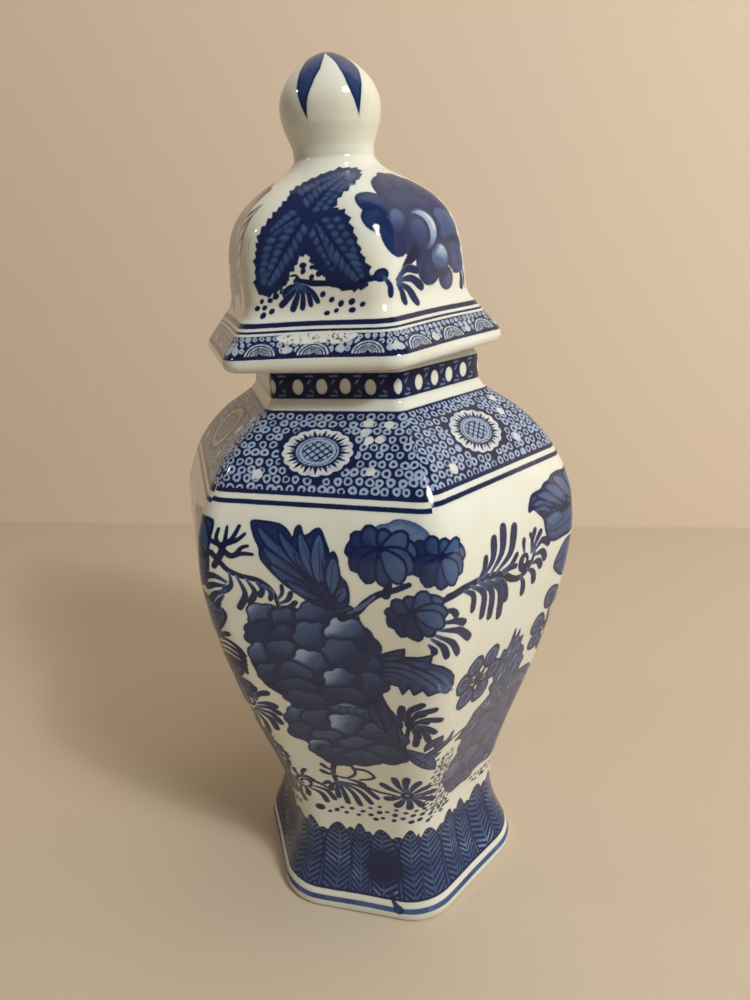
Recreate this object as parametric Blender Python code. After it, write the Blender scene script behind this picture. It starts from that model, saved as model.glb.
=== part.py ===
"""Hexagonal covered ginger jar: a slip-cast porcelain vessel and its loose lid.

Units are metres, +Z is up, and the origin is the centre of the foot ring's
resting face. Two of the six flat sides face -Y and +Y, and two of the six
arrises lie on -X and +X. Every level of both pieces is a hexagon with rounded
arrises, so a level is described by the distance from the axis to its sharp
corner and by the radius of its arris.
"""

import math

import bpy
import bmesh
from mathutils import Euler, Vector

MM = 0.001

# ---------------------------------------------------------------- jar body
# Outer wall, from the foot up: height, sharp corner distance (mm).
BODY_OUTSIDE = (
    (0.0, 39.7),
    (0.9, 40.6),
    (2.4, 40.75),
    (4.5, 40.1),
    (7.5, 38.8),
    (11.5, 37.0),
    (17.0, 35.3),
    (23.0, 34.5),
    (29.5, 34.9),
    (37.7, 36.7),
    (47.0, 39.5),
    (57.3, 43.0),
    (67.6, 46.4),
    (77.8, 49.2),
    (88.0, 51.7),
    (98.3, 53.5),
    (106.5, 54.25),
    (114.7, 53.6),
    (120.8, 51.8),
    (127.0, 48.7),
    (132.0, 44.9),
    (137.0, 39.3),
    (141.3, 32.4),
    (142.6, 30.7),
    (144.2, 29.7),
    (150.2, 29.3),
    (151.1, 28.3),
)
# Arris radius of the outer wall: height, radius (mm).
BODY_ARRIS = ((0.0, 14.0), (23.0, 12.3), (106.0, 8.2), (130.0, 6.0), (142.0, 3.7), (151.1, 3.0))

WALL = 3.7  # clay wall below the neck
NECK_BORE = 26.2  # sharp corner distance of the mouth's bore
NECK_BORE_DEPTH = 9.0
FLOOR_TOP = 7.2  # inside floor
FOOT_RING_INNER = 34.9  # sharp corner distance of the foot ring's inner edge
RECESS_HEIGHT = 2.8  # recess inside the foot ring

# -------------------------------------------------------------------- lid
# Heights here start at the flat underside of the brim.
LID_OUTSIDE = (
    (0.0, 37.4),
    (0.6, 38.2),
    (1.6, 38.5),
    (2.7, 38.3),
    (3.6, 37.7),
    (6.4, 35.2),
    (9.4, 32.6),
    (11.0, 31.2),
    (13.3, 30.4),
    (17.5, 30.2),
    (22.3, 29.8),
    (27.2, 28.7),
    (30.0, 27.3),
    (32.6, 25.2),
    (34.8, 22.3),
    (36.8, 18.5),
    (38.6, 14.4),
    (40.0, 11.6),
    (41.3, 10.1),
)
LID_ARRIS = ((0.0, 6.0), (9.0, 5.5), (20.0, 7.5), (32.0, 10.0), (38.0, 11.0), (41.3, 10.1))
ROUND_FROM = 33.0  # the hexagon starts to turn into a circle here
ROUND_AT = 41.3  # and is a full circle here, under the knob

KNOB_NECK = ((42.6, 9.3), (44.4, 9.35), (46.8, 10.1), (49.4, 11.05))
KNOB_WIDEST = 52.6  # height of the knob's widest level
KNOB_RADIUS = 11.45
KNOB_TOP = 63.7

LID_INSIDE = (
    (-8.5, 18.4),
    (2.0, 18.3),
    (9.5, 25.2),
    (15.0, 26.2),
    (22.0, 25.6),
    (27.5, 23.8),
    (31.0, 20.6),
    (33.6, 15.6),
    (35.2, 9.4),
)
LID_CROWN = 36.0  # highest point of the hollow
COLLAR = 21.9  # sharp corner distance of the locating collar
COLLAR_DEPTH = 8.5

# How the loose lid sits: the collar is smaller than the bore, so the lid rests
# a little to one side, a little turned and leaning.
SEAT = (-3.2, 0.0, 152.32)
LEAN_ABOUT_X = 1.35  # degrees
LEAN_ABOUT_Y = -0.80
TURN = 1.5

# --------------------------------------------------------------- fineness
ARRIS_POINTS = 5  # points round each arris
SIDE_POINTS = 1  # points between two arrises
KNOB_LEVELS = 9


def curve_at(stations, height):
    """Value of a smooth monotone curve through the stations."""
    last = len(stations) - 1
    if height <= stations[0][0]:
        return stations[0][1]
    if height >= stations[last][0]:
        return stations[last][1]
    slopes = [
        (stations[i + 1][1] - stations[i][1]) / (stations[i + 1][0] - stations[i][0])
        for i in range(last)
    ]

    def tangent(i):
        if i == 0:
            return slopes[0]
        if i == last:
            return slopes[last - 1]
        a, b = slopes[i - 1], slopes[i]
        return 0.0 if a * b <= 0 else 2 * a * b / (a + b)

    i = max(k for k in range(last) if stations[k][0] <= height)
    step = stations[i + 1][0] - stations[i][0]
    t = (height - stations[i][0]) / step
    return (
        (2 * t**3 - 3 * t**2 + 1) * stations[i][1]
        + (t**3 - 2 * t**2 + t) * step * tangent(i)
        + (3 * t**2 - 2 * t**3) * stations[i + 1][1]
        + (t**3 - t**2) * step * tangent(i + 1)
    )


def level(corner, arris, height, roundness=0.0):
    """One closed loop of points: a hexagon with rounded arrises, or part way to a circle."""
    arris = min(arris, 0.8 * corner)
    centre = corner - arris / math.cos(math.pi / 6)
    points = []
    for side in range(6):
        middle = side * math.pi / 3
        arc = []
        for k in range(ARRIS_POINTS):
            turn = middle + math.radians(-30 + 60 * k / (ARRIS_POINTS - 1))
            arc.append(
                (
                    centre * math.cos(middle) + arris * math.cos(turn),
                    centre * math.sin(middle) + arris * math.sin(turn),
                )
            )
        following = middle + math.pi / 3
        first = middle + math.pi / 6
        start = arc[-1]
        end = (
            centre * math.cos(following) + arris * math.cos(first),
            centre * math.sin(following) + arris * math.sin(first),
        )
        for k in range(SIDE_POINTS):
            t = (k + 1) / (SIDE_POINTS + 1)
            arc.append((start[0] + t * (end[0] - start[0]), start[1] + t * (end[1] - start[1])))
        points.extend(arc)
    loop = []
    for x, y in points:
        size = math.hypot(x, y)
        scale = 1 + roundness * (corner / size - 1)
        loop.append(Vector((x * scale * MM, y * scale * MM, height * MM)))
    return loop


def turned_solid(name, loops, start_tip=None, end_tip=None):
    """Bridges the loops in order into one closed body, capped at both ends."""
    mesh = bpy.data.meshes.new(name)
    bm = bmesh.new()
    rings = [[bm.verts.new(point) for point in loop] for loop in loops]
    count = len(rings[0])
    for lower, upper in zip(rings, rings[1:]):
        for k in range(count):
            n = (k + 1) % count
            bm.faces.new((lower[k], lower[n], upper[n], upper[k]))
    first, last = rings[0], rings[-1]
    tip = bm.verts.new(start_tip)
    for k in range(count):
        bm.faces.new((tip, first[(k + 1) % count], first[k]))
    tip = bm.verts.new(end_tip)
    for k in range(count):
        bm.faces.new((tip, last[k], last[(k + 1) % count]))
    bmesh.ops.recalc_face_normals(bm, faces=bm.faces[:])
    bm.to_mesh(mesh)
    bm.free()
    mesh.shade_smooth()
    mesh.set_sharp_from_angle(angle=math.radians(40))
    solid = bpy.data.objects.new(name, mesh)
    bpy.context.scene.collection.objects.link(solid)
    return solid


def porcelain(name, colour, roughness):
    material = bpy.data.materials.new(name)
    material.use_nodes = True
    shader = material.node_tree.nodes["Principled BSDF"]
    shader.inputs["Base Color"].default_value = (*colour, 1.0)
    shader.inputs["Roughness"].default_value = roughness
    shader.inputs["Metallic"].default_value = 0.0
    return material


def body_loops():
    def outside(height):
        return level(curve_at(BODY_OUTSIDE, height), curve_at(BODY_ARRIS, height), height)

    # Recess ceiling, foot ring, outer wall, rim, bore, cavity and floor.
    loops = [
        level(16.0, 7.0, RECESS_HEIGHT),
        level(32.6, 9.0, RECESS_HEIGHT),
        level(34.1, 10.0, 1.4),
        level(FOOT_RING_INNER, 10.6, 0.0),
    ]
    heights = [
        0.0, 0.9, 2.4, 4.5, 8.0, 12.0, 17.0, 23.0, 30.0, 38.0, 47.0, 57.3, 67.6, 77.8, 88.0,
        98.3, 106.5, 113.5, 119.5, 125.0, 130.0, 134.5, 138.2, 141.3, 142.6, 144.2, 150.2, 151.1,
    ]
    loops += [outside(height) for height in heights]
    rim = BODY_OUTSIDE[-1][0]
    loops.append(level(NECK_BORE + 0.9, 2.4, rim))
    loops.append(level(NECK_BORE, 2.0, rim - 0.9))
    loops.append(level(NECK_BORE, 2.0, rim - NECK_BORE_DEPTH))
    inset = WALL / math.cos(math.pi / 6)
    for height in (139.5, 135.5, 130.5, 125.0, 117.5, 107.0, 92.0, 75.0, 58.0, 42.0, 30.0, 21.0, 13.5, 9.2):
        corner = curve_at(BODY_OUTSIDE, height) - inset
        if height > 128:
            # The cavity's roof is as thick as the wall measured square to the steep shoulder.
            corner -= 0.16 * (height - 128)
        if height < 12:
            corner -= 3.0
        loops.append(level(corner, max(2.0, curve_at(BODY_ARRIS, height) - WALL), height))
    loops.append(level(24.0, 8.0, FLOOR_TOP))
    return loops


def lid_loops():
    def outside(height):
        t = (height - ROUND_FROM) / (ROUND_AT - ROUND_FROM)
        t = min(max(t, 0.0), 1.0)
        return level(
            curve_at(LID_OUTSIDE, height), curve_at(LID_ARRIS, height), height, t * t * (3 - 2 * t)
        )

    # Hollow, collar, flat underside, brim, dome and knob.
    loops = []
    for height, corner in reversed(LID_INSIDE):
        t = min(max((height - 24.0) / 10.0, 0.0), 1.0)
        loops.append(level(corner, 3.0 if height < 5 else 6.0, height, t))
    loops.append(level(COLLAR - 0.7, 3.4, -COLLAR_DEPTH))
    loops.append(level(COLLAR, 4.0, -COLLAR_DEPTH + 0.8))
    loops.append(level(COLLAR, 4.0, -0.5))
    loops.append(level(COLLAR + 0.5, 4.2, 0.0))
    heights = [0.0, 0.6, 1.6, 2.7, 3.6, 6.4, 9.4, 11.0, 13.3, 17.5, 22.3, 27.2, 30.0, 32.6, 34.8, 36.8, 38.6, 40.0, 41.3]
    loops += [outside(height) for height in heights]
    for height, radius in KNOB_NECK:
        loops.append(level(radius, radius, height, 1.0))
    for k in range(KNOB_LEVELS):
        angle = math.radians(90 * k / KNOB_LEVELS)
        loops.append(level(*knob_level(angle), 1.0))
    return loops


def knob_level(angle):
    """Radius, arris and height on the knob's upper half, an egg drawn to a soft tip."""
    narrowing = ((math.cos(angle) + 0.2) / 1.2) ** 0.45
    radius = KNOB_RADIUS * math.cos(angle) * narrowing
    return radius, radius, KNOB_WIDEST + (KNOB_TOP - KNOB_WIDEST) * math.sin(angle)


def main():
    for old in list(bpy.data.objects):
        bpy.data.objects.remove(old, do_unlink=True)

    body = turned_solid(
        "jar_body",
        body_loops(),
        Vector((0, 0, RECESS_HEIGHT * MM)),
        Vector((0, 0, FLOOR_TOP * MM)),
    )
    body.data.materials.append(porcelain("body_glaze", (0.86, 0.84, 0.77), 0.12))

    lid = turned_solid(
        "lid",
        lid_loops(),
        Vector((0, 0, LID_CROWN * MM)),
        Vector((0, 0, KNOB_TOP * MM)),
    )
    lid.data.materials.append(porcelain("lid_glaze", (0.86, 0.84, 0.77), 0.12))

    # The lid lifts along +Z, so its empty stands on the seat, on the lifting axis.
    seat = bpy.data.objects.new("lid_lift_axis", None)
    bpy.context.scene.collection.objects.link(seat)
    seat.location = Vector(SEAT) * MM
    lean = Euler((math.radians(LEAN_ABOUT_X), math.radians(LEAN_ABOUT_Y), 0.0), "XYZ").to_matrix()
    turn = Euler((0.0, 0.0, math.radians(TURN)), "XYZ").to_matrix()
    lid.parent = seat
    lid.rotation_euler = (lean @ turn).to_euler()


main()
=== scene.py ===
"""Looks of the hexagonal covered ginger jar: glazed porcelain with a cobalt print under the glaze.

The clay surfaces are rebuilt at a fine pitch on the same profiles as the CAD
solids. The print is drawn here as vector shapes. Each shape is turned into a
distance, in millimetres, at every point of the fine surface, and the glaze
material turns those distances into ink with a soft fired edge.
"""

import math
import random

import bpy
import numpy as np
from mathutils import Matrix, Vector


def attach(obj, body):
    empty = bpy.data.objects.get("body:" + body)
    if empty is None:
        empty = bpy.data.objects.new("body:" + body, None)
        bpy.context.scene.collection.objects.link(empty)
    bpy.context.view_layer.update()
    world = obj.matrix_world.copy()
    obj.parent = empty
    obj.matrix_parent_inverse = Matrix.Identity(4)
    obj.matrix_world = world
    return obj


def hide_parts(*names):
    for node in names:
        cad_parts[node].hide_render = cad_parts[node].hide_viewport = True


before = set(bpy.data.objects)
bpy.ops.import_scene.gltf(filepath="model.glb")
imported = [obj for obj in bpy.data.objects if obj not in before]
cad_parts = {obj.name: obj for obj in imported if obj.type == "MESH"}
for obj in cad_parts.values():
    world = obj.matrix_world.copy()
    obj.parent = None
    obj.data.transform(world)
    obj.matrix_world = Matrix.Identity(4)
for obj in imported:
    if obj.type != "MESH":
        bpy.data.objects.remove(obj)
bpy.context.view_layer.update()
MM = 0.001
C30 = math.cos(math.pi / 6)

# ------------------------------------------------------------------ profiles
BODY_OUTSIDE = (
    (0.0, 39.7), (0.9, 40.6), (2.4, 40.75), (4.5, 40.1), (7.5, 38.8), (11.5, 37.0), (17.0, 35.3),
    (23.0, 34.5), (29.5, 34.9), (37.7, 36.7), (47.0, 39.5), (57.3, 43.0), (67.6, 46.4), (77.8, 49.2),
    (88.0, 51.7), (98.3, 53.5), (106.5, 54.25), (114.7, 53.6), (120.8, 51.8), (127.0, 48.7),
    (132.0, 44.9), (137.0, 39.3), (141.3, 32.4), (142.6, 30.7), (144.2, 29.7), (150.2, 29.3),
    (151.1, 28.3),
)
BODY_ARRIS = ((0.0, 14.0), (23.0, 12.3), (106.0, 8.2), (130.0, 6.0), (142.0, 3.7), (151.1, 3.0))
LID_OUTSIDE = (
    (0.0, 37.4), (0.6, 38.2), (1.6, 38.5), (2.7, 38.3), (3.6, 37.7), (6.4, 35.2), (9.4, 32.6),
    (11.0, 31.2), (13.3, 30.4), (17.5, 30.2), (22.3, 29.8), (27.2, 28.7), (30.0, 27.3), (32.6, 25.2),
    (34.8, 22.3), (36.8, 18.5), (38.6, 14.4), (40.0, 11.6), (41.3, 10.1),
)
LID_ARRIS = ((0.0, 6.0), (9.0, 5.5), (20.0, 7.5), (32.0, 10.0), (38.0, 11.0), (41.3, 10.1))
ROUND_FROM, ROUND_AT = 33.0, 41.3
KNOB_NECK = ((41.3, 10.1), (42.6, 9.3), (44.4, 9.35), (46.8, 10.1), (49.4, 11.05))
KNOB_WIDEST, KNOB_RADIUS, KNOB_TOP = 52.6, 11.45, 63.7
RIM_TOP = 151.1
BORE, BORE_DEPTH = 26.2, 9.0
SEAT = (-3.2, 0.0, 152.32)
LEAN_ABOUT_X, LEAN_ABOUT_Y, TURN = 1.35, -0.80, 1.5


def curve(stations, at):
    """A smooth monotone curve through the stations, as the CAD profile is made."""
    z = np.array([s[0] for s in stations], float)
    r = np.array([s[1] for s in stations], float)
    d = np.diff(r) / np.diff(z)
    t = np.zeros(len(z))
    t[0], t[-1] = d[0], d[-1]
    for i in range(1, len(z) - 1):
        a, b = d[i - 1], d[i]
        t[i] = 0.0 if a * b <= 0 else 2 * a * b / (a + b)
    at = np.clip(np.asarray(at, float), z[0], z[-1])
    i = np.clip(np.searchsorted(z, at, side="right") - 1, 0, len(z) - 2)
    s = z[i + 1] - z[i]
    x = (at - z[i]) / s
    return (
        (2 * x**3 - 3 * x**2 + 1) * r[i]
        + (x**3 - 2 * x**2 + x) * s * t[i]
        + (3 * x**2 - 2 * x**3) * r[i + 1]
        + (x**3 - x**2) * s * t[i + 1]
    )


def rows_along(stations, step, low=None):
    """Heights a constant distance apart along the profile of a side's middle: (distance, height)."""
    z0 = stations[0][0] if low is None else low
    z = np.linspace(z0, stations[-1][0], 8001)
    r = curve(stations, z)
    run = np.concatenate([[0], np.cumsum(np.hypot(np.diff(z), C30 * np.diff(r)))])
    count = int(round(run[-1] / step)) + 1
    v = np.linspace(0, run[-1], count)
    return v, np.interp(v, run, z)


def ring(corner, arris, t):
    """One side of a rounded hexagon, from arris middle (t=-1) to arris middle (t=1)."""
    arris = np.minimum(arris, 0.8 * corner)
    centre = corner - arris / C30
    flat = centre / 2
    out = centre * C30 + arris
    half = flat + arris * math.pi / 6
    u = t * half
    turn = np.clip((np.abs(u) - flat) / arris, 0, math.pi / 6)
    on_flat = np.abs(u) <= flat
    x = np.where(on_flat, u, np.sign(u) * (flat + arris * np.sin(turn)))
    y = np.where(on_flat, out, out - arris * (1 - np.cos(turn)))
    return x, y, u, half


def side_points(side, x, y, z):
    angle = math.radians(-90 + 60 * side)
    n = (math.cos(angle), math.sin(angle))
    r = (-n[1], n[0])
    return np.stack([x * r[0] + y * n[0], x * r[1] + y * n[1], np.broadcast_to(z, x.shape)], -1)


LEAN = (
    Matrix.Rotation(math.radians(LEAN_ABOUT_Y), 4, "Y")
    @ Matrix.Rotation(math.radians(LEAN_ABOUT_X), 4, "X")
    @ Matrix.Rotation(math.radians(TURN), 4, "Z")
)
LID_PLACE = Matrix.Translation(Vector(SEAT) * MM) @ LEAN

# ------------------------------------------------------------------ meshes


def grid_object(name, points, closed=False, place=None, layers=None, flip=False):
    """A mesh from rows x columns of points (mm). layers: {attribute: rows x columns}."""
    rows, cols = points.shape[:2]
    mesh = bpy.data.meshes.new(name)
    count = rows * cols
    index = np.arange(count).reshape(rows, cols)
    a = index[:-1, :-1]
    b = index[:-1, 1:]
    c = index[1:, 1:]
    d = index[1:, :-1]
    quads = np.stack([a, b, c, d], -1).reshape(-1, 4)
    if closed:
        extra = np.stack([index[:-1, -1], index[:-1, 0], index[1:, 0], index[1:, -1]], -1)
        quads = np.concatenate([quads, extra])
    if flip:
        quads = quads[:, ::-1]
    mesh.vertices.add(count)
    mesh.vertices.foreach_set("co", (points.reshape(-1) * MM).astype(np.float32))
    mesh.loops.add(quads.size)
    mesh.loops.foreach_set("vertex_index", quads.reshape(-1).astype(np.int32))
    mesh.polygons.add(len(quads))
    mesh.polygons.foreach_set("loop_start", (np.arange(len(quads)) * 4).astype(np.int32))
    mesh.update(calc_edges=True)
    mesh.validate()
    if place is not None:
        mesh.transform(place)
    for key, values in (layers or {}).items():
        layer = mesh.attributes.new(key, "FLOAT", "POINT")
        layer.data.foreach_set("value", np.ascontiguousarray(values, np.float32).reshape(-1))
    mesh.shade_smooth()
    made = bpy.data.objects.new(name, mesh)
    bpy.context.scene.collection.objects.link(made)
    return made

# ------------------------------------------------------------ drawing tools
FAR = -3.0


def spline(points, closed=False, per=6):
    """Catmull-Rom curve through the points."""
    p = np.asarray(points, float)
    n = len(p)
    if n < 3:
        return p
    out = []
    last = n if closed else n - 1
    for i in range(last):
        if closed:
            a, b, c, d = p[(i - 1) % n], p[i], p[(i + 1) % n], p[(i + 2) % n]
        else:
            a, b, c, d = p[max(i - 1, 0)], p[i], p[i + 1], p[min(i + 2, n - 1)]
        for k in range(per):
            t = k / per
            out.append(
                0.5
                * (
                    2 * b
                    + (c - a) * t
                    + (2 * a - 5 * b + 4 * c - d) * t * t
                    + (3 * b - a - 3 * c + d) * t**3
                )
            )
    if not closed:
        out.append(p[-1])
    return np.array(out)


def in_polygon(poly, x, y):
    """Distance to the polygon's edge, positive inside."""
    poly = np.asarray(poly, float)
    best = np.full(x.shape, 1e9)
    inside = np.zeros(x.shape, bool)
    n = len(poly)
    for i in range(n):
        ax, ay = poly[i]
        bx, by = poly[(i + 1) % n]
        ex, ey = bx - ax, by - ay
        size = ex * ex + ey * ey
        if size < 1e-12:
            continue
        wx, wy = x - ax, y - ay
        t = np.clip((wx * ex + wy * ey) / size, 0, 1)
        best = np.minimum(best, (wx - t * ex) ** 2 + (wy - t * ey) ** 2)
        if ey != 0:
            crosses = (ay > y) != (by > y)
            inside ^= crosses & (x < ax + (y - ay) * ex / ey)
    return np.where(inside, 1.0, -1.0) * np.sqrt(best)


def in_stroke(path, widths, x, y):
    """Distance inside a brush stroke whose width changes along its path."""
    best = np.full(x.shape, -1e9)
    for i in range(len(path) - 1):
        ax, ay = path[i]
        ex, ey = path[i + 1][0] - ax, path[i + 1][1] - ay
        size = ex * ex + ey * ey + 1e-12
        wx, wy = x - ax, y - ay
        t = np.clip((wx * ex + wy * ey) / size, 0, 1)
        r = (widths[i] + t * (widths[i + 1] - widths[i])) / 2
        best = np.maximum(best, r - np.hypot(wx - t * ex, wy - t * ey))
    return best


def along_stroke(path, widths, x, y):
    """Distance inside a brush stroke, and how far along its path the nearest point is (0 to 1)."""
    best = np.full(x.shape, -1e9)
    where = np.zeros(x.shape)
    last = len(path) - 1
    for i in range(last):
        ax, ay = path[i]
        ex, ey = path[i + 1][0] - ax, path[i + 1][1] - ay
        size = ex * ex + ey * ey + 1e-12
        wx, wy = x - ax, y - ay
        t = np.clip((wx * ex + wy * ey) / size, 0, 1)
        d = (widths[i] + t * (widths[i + 1] - widths[i])) / 2 - np.hypot(wx - t * ex, wy - t * ey)
        nearer = d > best
        where = np.where(nearer, (i + t) / last, where)
        best = np.maximum(best, d)
    return best, where


class Sheet:
    """The print on one side. Every layer is a distance in mm, positive inside; tone runs from
    0 (full ink) to 1 (palest wash)."""

    def __init__(self, u, v, half, side, period=6):
        self.u, self.v, self.half, self.side, self.period = u, v, half, side, period
        self.ink = np.full(u.shape, FAR)
        self.wash = np.full(u.shape, FAR)
        self.tone = np.zeros(u.shape)

    def window(self, anchor, x0, x1, v0, v1):
        rel = (anchor - self.side + self.period / 2) % self.period - self.period / 2
        if abs(rel) > 1.01:
            return None
        i0, i1 = np.searchsorted(self.v, v0), np.searchsorted(self.v, v1)
        if i1 - i0 < 2:
            return None
        x = self.u[i0:i1] - (2 * rel * self.half[i0:i1])[:, None]
        cols = np.flatnonzero(((x >= x0) & (x <= x1)).any(0))
        if len(cols) < 2:
            return None
        j0, j1 = cols[0], cols[-1] + 1
        x = x[:, j0:j1]
        y = np.broadcast_to(self.v[i0:i1, None], x.shape)
        return (slice(i0, i1), slice(j0, j1)), x, y

    def _box(self, anchor, pts, pad):
        p = np.asarray(pts, float)
        return self.window(
            anchor, p[:, 0].min() - pad, p[:, 0].max() + pad, p[:, 1].min() - pad, p[:, 1].max() + pad
        )

    def stroke(self, anchor, pts, w, layer="ink", tone=None, per=5):
        path = spline(pts, per=per) if len(pts) > 2 else np.asarray(pts, float)
        w = [w] if np.isscalar(w) else list(w)
        along = np.linspace(0, 1, len(path))
        widths = np.interp(along, np.linspace(0, 1, len(w)), w) if len(w) > 1 else np.full(len(path), w[0])
        found = self._box(anchor, path, max(w) + 1.5)
        if found is None:
            return
        at, x, y = found
        d = in_stroke(path, widths, x, y)
        if layer == "ink":
            self.ink[at] = np.maximum(self.ink[at], d)
        elif layer == "cut":
            self.ink[at] = np.minimum(self.ink[at], -d)
            self.wash[at] = np.minimum(self.wash[at], -d)
        else:  # a lighter line: ink is lifted and wash shows
            self.ink[at] = np.minimum(self.ink[at], -d)
            self.wash[at] = np.maximum(self.wash[at], d)
            if tone is not None:
                self.tone[at] = np.where(d > -0.15, tone, self.tone[at])

    def fill(self, anchor, pts, tone=(0.2, 0.5), light=(0.0, 0.0), depth=1.6, line=0.4, closed=True, per=5, shadow=0.0):
        """A shape with its own outline and shaded wash, hiding what is under it."""
        poly = spline(pts, closed=True, per=per) if closed else np.asarray(pts, float)
        found = self._box(anchor, poly, 1.5)
        if found is None:
            return
        at, x, y = found
        d = in_polygon(poly, x, y)
        self._cover(at, x, y, d, poly, tone, light, depth, line, shadow)

    def _cover(self, at, x, y, d, poly, tone, light, depth, line, shadow):
        if shadow:  # the shape behind is darkened along this one's edge
            near = np.clip(1 + d / (shadow * 2.2), 0, 1) ** 1.5
            self.tone[at] = np.where(d <= 0, self.tone[at] * (1 - 0.9 * near) - 0.10 * near, self.tone[at])
        ink = np.minimum(self.ink[at], -d)
        if line:
            ink = np.maximum(ink, line / 2 - np.abs(d))
        self.ink[at] = ink
        self.wash[at] = np.maximum(self.wash[at], d if line else d + 0.2)
        lo, hi = poly.min(0), poly.max(0)
        mid, size = (lo + hi) / 2, np.maximum(hi - lo, 0.5)
        rise = np.clip(d / depth, 0, 1)
        rise = rise * rise * (3 - 2 * rise)
        aim = 0.5 + ((x - mid[0]) / size[0] * light[0] + (y - mid[1]) / size[1] * light[1])
        shade = tone[0] + (tone[1] - tone[0]) * rise * np.clip(aim, 0, 1.2)
        self.tone[at] = np.where(d > -0.1, shade, self.tone[at])

    def solid(self, anchor, pts, closed=True, per=5):
        poly = spline(pts, closed=True, per=per) if closed else np.asarray(pts, float)
        found = self._box(anchor, poly, 1.5)
        if found is None:
            return
        at, x, y = found
        d = in_polygon(poly, x, y)
        self.ink[at] = np.maximum(self.ink[at], d)

    def cut(self, anchor, pts, closed=True, per=5):
        poly = spline(pts, closed=True, per=per) if closed else np.asarray(pts, float)
        found = self._box(anchor, poly, 1.5)
        if found is None:
            return
        at, x, y = found
        d = in_polygon(poly, x, y)
        self.ink[at] = np.minimum(self.ink[at], -d)
        self.wash[at] = np.minimum(self.wash[at], -d)

    # ---- motifs
    def drop(self, anchor, x0, y0, x1, y1, head, bend=0.0, tail=0.35, core=0.0, pale=0.5):
        """A brush dab: a thin tail at the first point, swelling to a soft head near the second."""
        mx, my = (x0 + x1) / 2, (y0 + y1) / 2
        nx, ny = -(y1 - y0), x1 - x0
        mx, my = mx + bend * nx, my + bend * ny
        size = math.hypot(x1 - x0, y1 - y0)
        back = min(0.3, 0.38 * head / max(size, 0.1))
        ex, ey = x1 - (x1 - mx) * back, y1 - (y1 - my) * back
        path = spline([(x0, y0), (mx, my), (ex, ey)], per=5)
        span = head - tail
        stations = (tail, tail + 0.22 * span, tail + 0.52 * span, tail + 0.82 * span, head, head * 0.9)
        widths = np.interp(np.linspace(0, 1, len(path)), np.linspace(0, 1, 6), stations)
        found = self._box(anchor, path, head + 1.5)
        if found is None:
            return
        at, x, y = found
        d, t = along_stroke(path, widths, x, y)
        inside = d > -0.08
        rim = (d > -0.26) & ~inside & (t > 0.16) & ((self.ink[at] > 0.05) | (self.wash[at] > 0.2))
        self.tone[at] = np.where(rim, pale, self.tone[at])
        self.wash[at] = np.where(rim, np.maximum(self.wash[at], 0.3), self.wash[at])
        self.ink[at] = np.where(rim, np.minimum(self.ink[at], -0.3), self.ink[at])
        shade = 0.34 - 0.62 * np.clip((t - 0.08) / 0.62, 0, 1) ** 0.8
        if core:
            shade = shade + core * 0.75 * np.exp(-(((head * 0.5 - d) / (head * 0.22)) ** 2)) * np.clip((0.95 - t) * 2.5, 0, 1)
        soft = (d > -0.5) & (self.wash[at] < -0.5)
        self.tone[at] = np.where(inside | soft, shade, self.tone[at])
        self.ink[at] = np.minimum(self.ink[at], -d)
        self.wash[at] = np.maximum(self.wash[at], d + 0.02)

    def blob(self, anchor, cx, cy, rx, ry, turn=0.0, lobes=0, wave=0.06, phase=0.0, **how):
        n = max(18, lobes * 8)
        a = np.linspace(0, 2 * math.pi, n, endpoint=False)
        r = 1 + wave * (np.abs(np.sin(lobes * a / 2 + phase)) * 2 - 1.2) if lobes else 1 + 0 * a
        x, y = rx * r * np.cos(a), ry * r * np.sin(a)
        c, s = math.cos(turn), math.sin(turn)
        self.fill(anchor, np.stack([cx + c * x - s * y, cy + s * x + c * y], -1), per=2, **how)

    def lens(self, anchor, x0, y0, x1, y1, width, bend=0.0, sharp=0.75, **how):
        """A pointed petal or leaflet between two points."""
        t = np.linspace(0, 1, 13)
        dx, dy = x1 - x0, y1 - y0
        size = math.hypot(dx, dy)
        nx, ny = -dy / size, dx / size
        mid = 4 * t * (1 - t) * bend
        w = width / 2 * np.sin(math.pi * t) ** sharp
        px = x0 + dx * t + nx * mid * size
        py = y0 + dy * t + ny * mid * size
        left = np.stack([px + nx * w, py + ny * w], -1)
        right = np.stack([px - nx * w, py - ny * w], -1)[::-1]
        self.fill(anchor, np.concatenate([left, right[1:-1]]), closed=False, **how)

    def spot(self, anchor, cx, cy, rx, ry=None, turn=0.0):
        ry = ry or rx
        a = np.linspace(0, 2 * math.pi, 12, endpoint=False)
        c, s = math.cos(turn), math.sin(turn)
        x, y = rx * np.cos(a), ry * np.sin(a)
        self.solid(anchor, np.stack([cx + c * x - s * y, cy + s * x + c * y], -1), per=2)

# ----------------------------------------------------------- printed borders


def band(sheet, low, high, layer="ink"):
    """A line right round: low and high are heights, numbers or arrays."""
    v = sheet.v[:, None] + 0 * sheet.u
    d = np.minimum(v - low, high - v)
    if layer == "ink":
        sheet.ink = np.maximum(sheet.ink, d)
    elif layer == "wash":
        sheet.wash = np.maximum(sheet.wash, d)
    else:
        sheet.ink = np.minimum(sheet.ink, -d)
        sheet.wash = np.minimum(sheet.wash, -d)


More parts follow.
